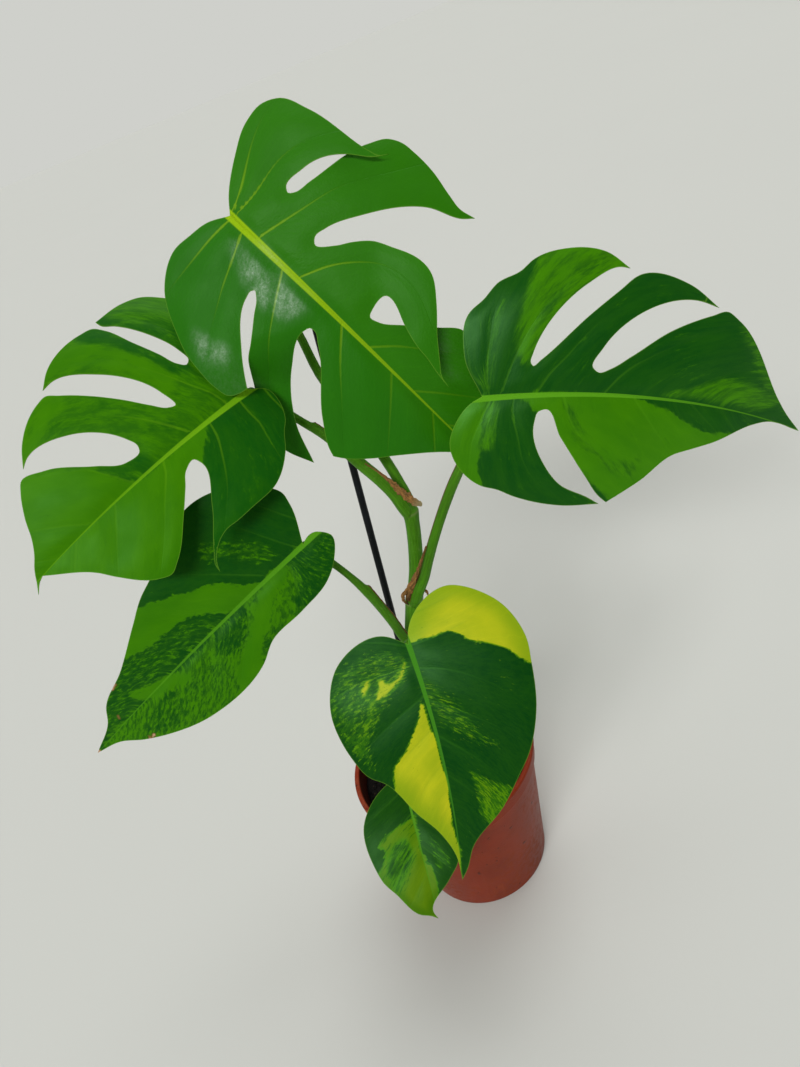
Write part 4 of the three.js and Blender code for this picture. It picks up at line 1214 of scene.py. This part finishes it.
def stem_material(color, edge_color):
    """Smooth green stems with pale lengthwise lines, rings and reddish edges."""
    material, s = new_material("green_stem", 0.16, GREEN_GLOSS)
    streaks = s.streaks("around", 2.6, 0.05)
    detail = s.detail(s.place(), 60.0, 1500.0, 420.0)
    paler = srgb(142, 178, 96)
    shade = s.mix(streaks["Broad"], scaled(color, 0.55), color)
    shade = s.mix(s.times(streaks["Fine"], 0.1), shade, paler)
    shade = s.mix(s.times(detail["Specks"], 0.12), shade, paler)
    shade = s.mix(s.times(s.attribute("scar"), 0.6), shade, srgb(128, 142, 84))
    red = s.step(s.plus(s.attribute("edge"), s.times(streaks["Fine"], 0.3)), 0.55, 0.85)
    shade = s.mix(red, shade, edge_color)
    height = s.plus(s.times(streaks["Broad"], 0.7), s.times(detail["Skin"], 0.3))
    s.finish(color=shade, roughness=s.step(detail["Blotches"], 0.0, 1.0, 0.38, 0.52),
             normal=s.bump(height, 0.25))
    return material


def sheath_material(color):
    """Dry, fibrous brown sheath with a paler end."""
    material, s = new_material("dry_sheath", 0.25)
    streaks = s.streaks("across", 1.6, 0.3)
    detail = s.detail(s.place(), 220.0, 1800.0, 600.0)
    shade = s.mix(streaks["Broad"], scaled(color, 0.2), color)
    shade = s.mix(s.times(streaks["Fine"], 0.5), shade, srgb(198, 152, 90))
    shade = s.mix(s.attribute("pale"), shade, srgb(190, 174, 128))
    shade = s.mix(s.attribute("darkness"), shade, srgb(52, 32, 22))
    height = s.plus(streaks["Fine"], s.times(detail["Skin"], 0.4))
    s.finish(color=shade, roughness=s.step(detail["Blotches"], 0.0, 1.0, 0.65, 0.85),
             normal=s.bump(height, 0.3))
    return material


def pot_material(color):
    """Moulded terracotta-brown plastic with dust and specks, and painted shade on its inner wall.
    """
    material, s = new_material("pot_plastic", 0.15, (1, 0.7, 0.6, 1))
    place = s.place()
    detail = s.detail(place, 38.0, 1100.0, 170.0)
    dust = s.detail(place, 14.0, 260.0, 420.0)
    shade = s.mix(detail["Blotches"], color, scaled(color, 0.8))
    powder = s.times(dust["Blotches"], s.step(dust["Skin"], 0.35, 0.7))
    shade = s.mix(s.times(powder, 0.2), shade, srgb(182, 120, 92))
    shade = s.mix(s.times(detail["Specks"], 0.75), shade, srgb(52, 26, 20))
    # Painted shade: the inner wall is darkened towards a dark brown, for the shade inside the rim.
    level = s.node("ShaderNodeVectorMath", {0: place, 1: (1, 1, 0)}, operation="MULTIPLY")
    away = s.node("ShaderNodeVectorMath", {0: level.outputs[0]}, operation="LENGTH")
    height_here = s.node("ShaderNodeSeparateXYZ", {"Vector": place}).outputs["Z"]
    outer = s.step(height_here, 0.0, POT_HEIGHT * MM, wall_radius(0) * MM,
                   wall_radius(POT_HEIGHT) * MM)
    inner = s.step(s.math("SUBTRACT", outer, away.outputs["Value"]), *INNER_WALL)
    inner_shade = s.times(inner, s.step(detail["Skin"], 0.2, 0.6, 0.7, 0.95))
    shade = s.mix(inner_shade, shade, srgb(34, 16, 12))
    height = s.plus(s.times(detail["Skin"], 0.6), detail["Specks"])
    s.finish(color=shade, roughness=s.step(powder, 0.0, 1.0, 0.42, 0.7),
             normal=s.bump(height, 0.2, 0.6))
    return material


def floor_material(color):
    """Plain pale matt floor."""
    material, s = new_material("floor", 0.0)
    s.shader.inputs["Roughness"].default_value = 0.85
    s.finish(color=s.mix(s.noise(s.place(), 1.5, 2.0), color, scaled(color, 0.985)))
    return material


# Pieces

def add_piece(name, mesh, node):
    """Puts a finished mesh in the scene in place of a CAD node."""
    mesh.name = name
    piece = put_in_scene(name, mesh)
    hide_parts(node)
    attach(piece, "root")


def joined(meshes):
    """Several meshes as one."""
    holders = [put_in_scene("part", mesh) for mesh in meshes]
    with bpy.context.temp_override(active_object=holders[0], object=holders[0],
                                   selected_objects=holders,
                                   selected_editable_objects=holders):
        bpy.ops.object.join()
    mesh = holders[0].data
    bpy.data.objects.remove(holders[0])
    return mesh


def under_ribs(blade, thickness):
    """Lines of the raised ribs on the underside of a blade."""
    along = np.linspace(-0.5, 0.97 * blade.length, 60)
    midrib = np.column_stack([along, np.zeros(len(along))])
    ribs = [(midrib, RIB_RADIUS * blade.row["rib"], 0.25)]
    outline = blade_outline(blade.row["outline"], PATCH_STEP)
    for vein in blade.veins:
        points = smooth_line(vein[:-1], 2.5)
        points = points[depth_inside(outline, points) > 2]
        if len(points) > 3:
            ribs.append((points, 0.16 * blade.row["rib"], 0.15))
    lines = []
    for points, thick, thin in ribs:
        rim = depth_inside(outline, points)
        points, rim = points[rim > 0.5], rim[rim > 0.5]
        here, facing = blade.surface(points)
        phase, spacing, _ = blade.among_veins(points)
        radius = np.linspace(thick, thin, len(points))
        sunk = np.maximum(0.5 * thickness + 0.25 * radius, radius - 0.1)
        lift = blade.relief(points, phase, spacing, rim) - sunk
        lines.append(np.column_stack([here + facing * lift[:, None], radius]))
    return lines


def stalk_line(name, points):
    """The middle line of a leaf stalk, with a swollen joint where it meets the blade."""
    row = next(row for row in LEAVES if row["name"] == name)
    seat, facing = Blade(row).surface(np.array([[0.5, 0.0], [7.0, 0.0]]))
    radius = RIB_RADIUS * row["rib"]
    ends = [[*(seat[0] - facing[0] * (radius + 0.45)), radius + 0.3],
            [*(seat[1] - facing[1] * (1.1 * radius)), radius * 0.9]]
    line = smooth_line(points + ends, LINE_STEP)
    travelled = lengths(line[:, :3])
    line[:, 3] += 0.5 * hill(travelled[-1] - travelled - 12, 5)
    line[:, 3] += 0.6 * hill(travelled, 9)
    return line


def stem_mesh(settings, material):
    """Main stem and leaf stalks grown together."""
    stem = smooth_line(MAIN_STEM, LINE_STEP)
    for height, swell in STEM_RINGS:
        stem[:, 3] += swell * hill(stem[:, 2] - height, 4)
    lines = [stem] + [stalk_line(name, points) for name, points in STALKS.items()]
    lines += [smooth_line(points, LINE_STEP) for points in WINGS]
    rough = made_by(tube_tree(), line_mesh(lines), {"Sides": STEM_SIDES, "Material": material})
    holder = put_in_scene("stem", rough)
    remesh = holder.modifiers.new("grown_together", "REMESH")
    remesh.mode = "VOXEL"
    remesh.voxel_size = settings.skin_size
    remesh.use_smooth_shade = True
    soften = holder.modifiers.new("softened", "SMOOTH")
    soften.factor = 0.5
    soften.iterations = 5
    mesh = plain_mesh(holder)

    count = len(mesh.vertices)
    places = np.zeros(count * 3, np.float32)
    mesh.vertices.foreach_get("co", places)
    places = places.reshape(-1, 3) / MM
    nearest = np.full(count, np.inf)
    values = {name: np.zeros(count) for name in ("around", "along", "scar", "edge")}
    names = ["main", *STALKS] + ["wing"] * len(WINGS)
    for number, (name, line) in enumerate(zip(names, lines)):
        middle, radius = line[:, :3], line[:, 3]
        gaps = np.linalg.norm(places[:, None] - middle[None], axis=2)
        closest = np.argmin(gaps - radius[None], axis=1)
        gap = gaps[np.arange(count), closest] - radius[closest]
        mine = gap < nearest
        nearest[mine] = gap[mine]
        offset = places - middle[closest]
        side, front = (np.sum(offset * way[closest], axis=1) for way in line_frame(middle))
        angle = np.arctan2(side, front)
        along = lengths(middle)[closest]
        found = {"around": np.abs(angle) * 3 + 11 * number, "along": along, "scar": 0, "edge": 0}
        if name == "main":
            found["scar"] = np.max([hill(places[:, 2] - ring[0], 0.7) for ring in STEM_RINGS],
                                   axis=0)
        if name == "wing":
            found["edge"] = hill(angle - 1, 0.5)
        if name == "leaf_c":
            found["edge"] = hill(angle + 1.3, 0.25) * (1 - smooth_step((along - 100) / 20))
        for key, value in found.items():
            values[key] = np.where(mine, value, values[key])
    store(mesh, values)
    mesh.materials.clear()
    mesh.materials.append(material)
    return mesh


def sheath_mesh(points, material, curl, seed, pale_end, dark_end):
    """A crinkled dry ribbon, closed, with its hollow side towards the stem."""
    line = smooth_line(points, 0.8)
    middle, half = line[:, :3], line[:, 3]
    side, front = line_frame(middle)
    travelled = lengths(middle)
    columns = np.linspace(-1, 1, 9)
    count = len(line)
    grid = []
    for x in columns:
        shift = np.full(count, x)
        ragged = 1 + 0.7 * wander(np.column_stack([travelled, 5 * shift]), 1.7, seed)
        crease = 0.9 * np.minimum(half, 1.5) * wander(
            np.column_stack([travelled * 0.6, 9 * shift]), 1.9, seed + 4)
        out = curl * half * (1 - x * x) + crease
        grid.append(middle + side * (x * half * ragged)[:, None] + front * out[:, None])
    grid = np.array(grid)
    thick = SHEATH_HALF_THICKNESS * front
    places = np.vstack([(grid + thick).reshape(-1, 3), (grid - thick).reshape(-1, 3)])
    total = len(columns) * count
    faces = []
    for c in range(len(columns) - 1):
        for i in range(count - 1):
            a, b = c * count + i, (c + 1) * count + i
            faces.append((a, b, b + 1, a + 1))
            faces.append((a + total, a + 1 + total, b + 1 + total, b + total))
    last = total - count
    for i in range(count - 1):
        faces.append((i, i + 1, i + 1 + total, i + total))
        faces.append((last + i, last + i + total, last + i + 1 + total, last + i + 1))
    for c in range(len(columns) - 1):
        a, b = c * count, (c + 1) * count
        faces.append((a, a + total, b + total, b))
        a, b = a + count - 1, b + count - 1
        faces.append((a, b, b + total, a + total))
    mesh = new_mesh("sheath", places, faces)
    mesh.materials.append(material)
    along = np.tile(travelled, 2 * len(columns))
    share = along / travelled[-1]
    store(mesh, {"across": np.tile(np.repeat(columns, count), 2), "along": along,
                 "pale": pale_end * smooth_step((share - 0.8) / 0.2),
                 "darkness": dark_end * smooth_step((share - 0.7) / 0.3)})
    shade_smooth(mesh)
    turn_outwards(mesh)
    return mesh


def turn_outwards(mesh):
    """Makes every face of a closed mesh look outwards."""
    shape = bmesh.new()
    shape.from_mesh(mesh)
    bmesh.ops.remove_doubles(shape, verts=shape.verts, dist=1e-7)
    bmesh.ops.recalc_face_normals(shape, faces=shape.faces)
    shape.to_mesh(mesh)
    shape.free()


def rounded_profile(corners, pieces=5):
    """A profile of (radius, height, rounding) corners with each corner rounded off."""
    points = []
    for number, (r, z, rounding) in enumerate(corners):
        here = np.array([r, z], float)
        if rounding == 0 or number in (0, len(corners) - 1):
            points.append(here)
            continue
        before = np.array(corners[number - 1][:2], float) - here
        after = np.array(corners[number + 1][:2], float) - here
        start = here + before / np.linalg.norm(before) * rounding
        end = here + after / np.linalg.norm(after) * rounding
        for t in np.linspace(0, 1, pieces):
            points.append((1 - t) ** 2 * start + 2 * t * (1 - t) * here + t**2 * end)
    return np.array(points)


def turned_mesh(name, profile, sides):
    """A closed shape turned about the z axis; the profile starts and ends on the axis."""
    rings = profile[1:-1]
    angles = 2 * math.pi * np.arange(sides) / sides
    places = [(0, 0, profile[0][1])]
    for r, z in rings:
        places.extend((r * math.cos(a), r * math.sin(a), z) for a in angles)
    places.append((0, 0, profile[-1][1]))
    faces = []
    for k in range(sides):
        k2 = (k + 1) % sides
        faces.append((0, 1 + k2, 1 + k))
        for i in range(len(rings) - 1):
            a, b = 1 + i * sides + k, 1 + i * sides + k2
            faces.append((a, b, b + sides, a + sides))
        last = 1 + (len(rings) - 1) * sides
        faces.append((last + k, last + k2, len(places) - 1))
    mesh = new_mesh(name, places, faces)
    turn_outwards(mesh)
    return mesh


def wall_radius(z):
    """Outer radius of the pot's tapered wall at a height."""
    return POT_BASE_RADIUS + (POT_TOP_RADIUS - BAND_STEP - POT_BASE_RADIUS) * z / POT_HEIGHT


# Settings

def length_setting(name, description, default, low, high, precision=4):
    return bpy.props.FloatProperty(name=name, description=description, default=default,
                                   min=low, max=high, precision=precision, unit="LENGTH",
                                   subtype="DISTANCE")


def color_setting(name, description, *screen_values):
    return bpy.props.FloatVectorProperty(name=name, description=description, size=3, min=0,
                                         max=1, default=srgb(*screen_values), subtype="COLOR")


class PlantLeafSettings(bpy.types.PropertyGroup):
    """Sizes and colours of the leaves."""
    thickness: length_setting("Thickness", "Thickness of a blade away from its margin",
                              0.0007, 0.0003, 0.002)
    detail: length_setting("Detail", "Distance between the corners of a blade's mesh",
                           0.0017, 0.001, 0.005)
    plain_green: color_setting("Plain green", "Colour of the top leaf's left half", 32, 108, 6)
    # Painted light: a lighter copy of the top leaf's green, for light falling on its right half.
    lit_green: color_setting("Lit green", "Colour of the top leaf's right half", 50, 122, 3)
    mid_green: color_setting("Middle green", "Green tissue of the left leaf", 18, 84, 10)
    dark_green: color_setting("Dark green", "Green tissue of the marbled leaves", 12, 72, 13)
    deep_green: color_setting("Deep green", "Green tissue of the front leaf", 5, 60, 14)
    young_green: color_setting("Young green", "Green tissue of the small low leaf", 15, 62, 12)
    lime: color_setting("Lime", "Light tissue of the marbled leaves", 65, 130, 2)
    pale_lime: color_setting("Pale lime", "Light tissue of the small low leaf", 98, 134, 6)
    yellow: color_setting("Yellow", "Light tissue of the front leaf", 186, 190, 28)


class PlantStemSettings(bpy.types.PropertyGroup):
    """Sizes and colours of the stems, sheaths and stake."""
    skin_size: length_setting(
        "Skin size", "Size of the small squares that the stems' skin is made of",
        0.0008, 0.0005, 0.003)
    color: color_setting("Stem", "Colour of the stems", 74, 138, 10)
    edge_color: color_setting(
        "Stalk edges", "Colour of the reddish lines along two stalks", 112, 58, 30)
    sheath_color: color_setting("Dry sheaths", "Colour of the dry sheaths", 184, 128, 66)
    stake_radius: length_setting("Stake radius", "Radius of the stake", 0.0021, 0.001, 0.005)
    stake_color: color_setting("Stake", "Colour of the stake", 7, 8, 13)


class PlantPotSettings(bpy.types.PropertyGroup):
    """Sizes and colours of the pot and its soil."""
    hole_count: bpy.props.IntProperty(
        name="Drain holes", description="Number of drain holes", default=8, min=0, max=24)
    hole_radius: length_setting("Hole radius", "Radius of a drain hole", 0.0035, 0.001, 0.008)
    color: color_setting("Pot", "Colour of the pot", 132, 42, 12)
    crumb_size: length_setting("Crumb size", "Radius of the largest soil crumbs",
                               0.0024, 0.001, 0.005)
    crumbs: bpy.props.FloatProperty(
        name="Crumbs", description="Crumbs on each square metre of soil",
        default=110000, min=0, max=300000)
    soil_color: color_setting("Soil", "Colour of the soil", 9, 7, 6)


class PlantStageSettings(bpy.types.PropertyGroup):
    """Floor, light and camera."""
    floor_size: length_setting("Floor size", "Width of the square floor", 40, 2, 100, 2)
    floor_color: color_setting("Floor", "Colour of the floor", 206, 207, 202)
    sky: bpy.props.FloatProperty(
        name="Sky light", description="Strength of the even light from all round",
        default=0.7, min=0, max=5)
    key: bpy.props.FloatProperty(
        name="Key light", description="Strength of the large soft light", default=1.8,
        min=0, max=20)
    lens: bpy.props.FloatProperty(
        name="Lens", description="Focal length of the camera", default=26.99,
        min=10, max=200, unit="CAMERA")


# Operators

class PLANT_OT_leaves(bpy.types.Operator):
    """Make the six leaves"""
    bl_idname = "plant.leaves"
    bl_label = "Leaves"

    def execute(self, context):
        settings = context.scene.plant_leaves
        thickness = settings.thickness / MM
        tree = tube_tree()
        ribs = rib_material(srgb(138, 172, 74))
        for row in LEAVES:
            blade = Blade(row)
            colors = [tuple(getattr(settings, key)) for key in (row["dark"], row["light"], "lime")]
            faces = [blade_material(blade, *colors, upper) for upper in (True, False)]
            mesh = blade_mesh(blade, thickness, settings.detail / MM, faces)
            raised = made_by(tree, line_mesh(under_ribs(blade, thickness)),
                             {"Sides": RIB_SIDES, "Material": ribs})
            add_piece(f"{row['name']}_blade", joined([mesh, raised]), row["name"])
        return {"FINISHED"}


class PLANT_OT_stem(bpy.types.Operator):
    """Make the main stem with its leaf stalks"""
    bl_idname = "plant.stem"
    bl_label = "Stem and stalks"

    def execute(self, context):
        settings = context.scene.plant_stem
        material = stem_material(tuple(settings.color), tuple(settings.edge_color))
        add_piece("stem_and_stalks", stem_mesh(settings, material), "stem")
        return {"FINISHED"}


class PLANT_OT_sheaths(bpy.types.Operator):
    """Make the two dry sheaths and the stub beside the lower one"""
    bl_idname = "plant.sheaths"
    bl_label = "Dry sheaths"

    def execute(self, context):
        material = sheath_material(tuple(context.scene.plant_stem.sheath_color))
        fork = sheath_mesh(FORK_SHEATH, material, 0.6, 3, 0.9, 0.0)
        add_piece("dry_sheath_fork", fork, "sheath_fork")
        lower = sheath_mesh(NODE_SHEATH, material, 0.8, 6, 0.0, 0.6)
        curl = sheath_mesh(NODE_CURL, material, 1.0, 12, 0.0, 1.0)
        stub = sheath_mesh(NODE_STUB, material, 0.4, 8, 0.0, 0.9)
        add_piece("dry_sheath_node", joined([lower, curl, stub]), "sheath_node")
        return {"FINISHED"}


class PLANT_OT_stake(bpy.types.Operator):
    """Make the stake"""
    bl_idname = "plant.stake"
    bl_label = "Stake"

    def execute(self, context):
        settings = context.scene.plant_stem
        radius = settings.stake_radius / MM
        span = STAKE_HEAD - STAKE_FOOT
        length = np.linalg.norm(span)
        profile = rounded_profile([(0, 0, 0), (0.5 * radius, 0, 0.3), (radius, 3, 1),
                                   (radius, length - 0.8, 0.3), (radius - 0.8, length, 0.3),
                                   (0, length, 0)])
        mesh = turned_mesh("stake", profile, 32)
        lean = Vector((0, 0, 1)).rotation_difference(Vector(span)).to_matrix().to_4x4()
        mesh.transform(Matrix.Translation(Vector(STAKE_FOOT * MM)) @ lean)
        mesh.materials.append(stake_material(tuple(settings.stake_color)))
        shade_smooth(mesh)
        mesh.set_sharp_from_angle(angle=math.radians(40))
        add_piece("stake_rod", mesh, "stake")
        return {"FINISHED"}


class PLANT_OT_pot(bpy.types.Operator):
    """Make the nursery pot with its drain holes"""
    bl_idname = "plant.pot"
    bl_label = "Pot"

    def execute(self, context):
        settings = context.scene.plant_pot
        band = POT_HEIGHT - BAND_HEIGHT
        floor = POT_WALL + 1
        profile = rounded_profile([
            (0, 1.2, 0), (36, 1.2, 1), (38, 0, 0.8), (POT_BASE_RADIUS, 0, 1.6),
            (wall_radius(band - 1), band - 1, 0.5), (wall_radius(band) + BAND_STEP, band, 0.6),
            (POT_TOP_RADIUS - 1.2, POT_HEIGHT - 3.4, 0.5), (POT_TOP_RADIUS, POT_HEIGHT - 2.6, 0.5),
            (POT_TOP_RADIUS, POT_HEIGHT, 1.1), (POT_TOP_RADIUS - 3, POT_HEIGHT, 0.8),
            (wall_radius(band) - POT_WALL, band, 1),
            (POT_BASE_RADIUS - POT_WALL + 0.3, floor, 1.2), (0, floor, 0)])
        mesh = made_by(hole_tree(), turned_mesh("pot", profile, 144), {
            "Hole Count": settings.hole_count, "Hole Radius": settings.hole_radius,
            "Circle Radius": HOLE_RING_RADIUS * MM,
            "Material": pot_material(tuple(settings.color))})
        mesh.set_sharp_from_angle(angle=math.radians(35))
        add_piece("nursery_pot", mesh, "pot")
        return {"FINISHED"}


class PLANT_OT_soil(bpy.types.Operator):
    """Make the soil with its loose crumbs"""
    bl_idname = "plant.soil"
    bl_label = "Soil"

    def execute(self, context):
        settings = context.scene.plant_pot
        edge = wall_radius(POT_HEIGHT - BAND_HEIGHT) - POT_WALL - SOIL_ROOM
        floor = POT_WALL + 1.5
        rings = [(r, SOIL_TOP) for r in np.linspace(edge, 0, 40)]
        profile = [(0, floor), (POT_BASE_RADIUS - POT_WALL - 0.5, floor)] + rings
        mesh = turned_mesh("soil", np.array(profile), 128)
        for vertex in mesh.vertices:
            if vertex.co.z > (SOIL_TOP - 1) * MM:
                place = vertex.co / MM
                outwards = place.xy.length / edge
                lumps = 2.2 * noise.noise(place / 11) + 1.1 * noise.noise(place / 4)
                lumps *= 1 - 0.7 * outwards**6
                vertex.co.z += (lumps - 1.5 - 2.2 * outwards**4) * MM
        mesh = made_by(crumb_tree(), mesh, {
            "Crumbs per Area": settings.crumbs, "Crumb Size": settings.crumb_size,
            "Reach": (edge - CRUMB_ROOM) * MM, "Seed": 11,
            "Material": soil_material(tuple(settings.soil_color))})
        add_piece("potting_soil", mesh, "soil")
        return {"FINISHED"}


class PLANT_OT_stage(bpy.types.Operator):
    """Make the floor, the lights and the camera"""
    bl_idname = "plant.stage"
    bl_label = "Stage"

    def execute(self, context):
        scene = context.scene
        settings = scene.plant_stage
        half = 0.5 * settings.floor_size / MM
        mesh = new_mesh("floor", [(-half, -half, 0), (half, -half, 0), (half, half, 0),
                                  (-half, half, 0)], [(0, 1, 2, 3)])
        mesh.materials.append(floor_material(tuple(settings.floor_color)))
        put_in_scene("floor", mesh)

        world = bpy.data.worlds.new("soft_sky")
        world.use_nodes = True
        sky = world.node_tree.nodes["Background"]
        shade = Shading(world.node_tree)
        toward = shade.node("ShaderNodeVectorMath", {
            0: shade.node("ShaderNodeTexCoord").outputs["Generated"], 1: DIM_SIDE},
            operation="DOT_PRODUCT").outputs["Value"]
        dim = shade.step(toward, 0.35, 0.9, settings.sky, DIM_SHARE * settings.sky)
        seen = shade.node("ShaderNodeLightPath").outputs["Is Camera Ray"]
        plain = shade.node("ShaderNodeMix", {0: seen, 2: dim, 3: SEEN_SKY}, data_type="FLOAT")
        world.node_tree.links.new(plain.outputs[0], sky.inputs["Strength"])
        sky.inputs["Color"].default_value = (*settings.floor_color, 1)
        scene.world = world
        scene.view_settings.view_transform = "Standard"
        for name, side, spread, share in SUNS:
            add_sun(name, Vector(side), spread, share * settings.key)

        forward = Vector((0, math.cos(CAMERA_PITCH), -math.sin(CAMERA_PITCH)))
        right = Vector((1, 0, 0))
        up = right.cross(forward)
        side = math.cos(CAMERA_ROLL) * right - math.sin(CAMERA_ROLL) * up
        above = math.sin(CAMERA_ROLL) * right + math.cos(CAMERA_ROLL) * up
        data = bpy.data.cameras.new("camera")
        data.lens = settings.lens
        data.sensor_width = SENSOR_WIDTH
        data.clip_start = 0.01
        data.clip_end = 200
        camera = put_in_scene("camera", data)
        turn = Matrix((side, above, -forward)).transposed().to_4x4()
        camera.matrix_world = Matrix.Translation(CAMERA_PLACE) @ turn
        scene.camera = camera
        return {"FINISHED"}


def add_sun(name, side, spread, strength):
    """Even soft light that comes from one side; spread is the width of its source in degrees."""
    data = bpy.data.lights.new(name, "SUN")
    data.angle = math.radians(spread)
    data.energy = strength
    put_in_scene(name, data).rotation_euler = side.to_track_quat("Z", "Y").to_euler()


OPERATORS = (PLANT_OT_stage, PLANT_OT_pot, PLANT_OT_soil, PLANT_OT_stake, PLANT_OT_stem,
             PLANT_OT_sheaths, PLANT_OT_leaves)
SETTINGS = {
    "plant_leaves": PlantLeafSettings,
    "plant_stem": PlantStemSettings,
    "plant_pot": PlantPotSettings,
    "plant_stage": PlantStageSettings,
}


class VIEW3D_PT_plant(bpy.types.Panel):
    """Lists the plant's pieces with their sizes and colours"""
    bl_label = "Potted aroid"
    bl_idname = "VIEW3D_PT_plant"
    bl_space_type = "VIEW_3D"
    bl_region_type = "UI"
    bl_category = "Plant"

    def draw(self, context):
        for name, group in SETTINGS.items():
            box = self.layout.box()
            settings = getattr(context.scene, name)
            for field in group.__annotations__:
                box.prop(settings, field)
        for operator in OPERATORS:
            self.layout.operator(operator.bl_idname)


def register():
    for group in SETTINGS.values():
        bpy.utils.register_class(group)
    for name, group in SETTINGS.items():
        setattr(bpy.types.Scene, name, bpy.props.PointerProperty(type=group))
    for operator in OPERATORS:
        bpy.utils.register_class(operator)
    bpy.utils.register_class(VIEW3D_PT_plant)


def unregister():
    bpy.utils.unregister_class(VIEW3D_PT_plant)
    for operator in reversed(OPERATORS):
        bpy.utils.unregister_class(operator)
    for name in SETTINGS:
        delattr(bpy.types.Scene, name)
    for group in SETTINGS.values():
        bpy.utils.unregister_class(group)


def main():
    register()
    bpy.ops.plant.stage()
    bpy.ops.plant.pot()
    bpy.ops.plant.soil()
    bpy.ops.plant.stake()
    bpy.ops.plant.stem()
    bpy.ops.plant.sheaths()
    bpy.ops.plant.leaves()


if __name__ == "__main__":
    main()
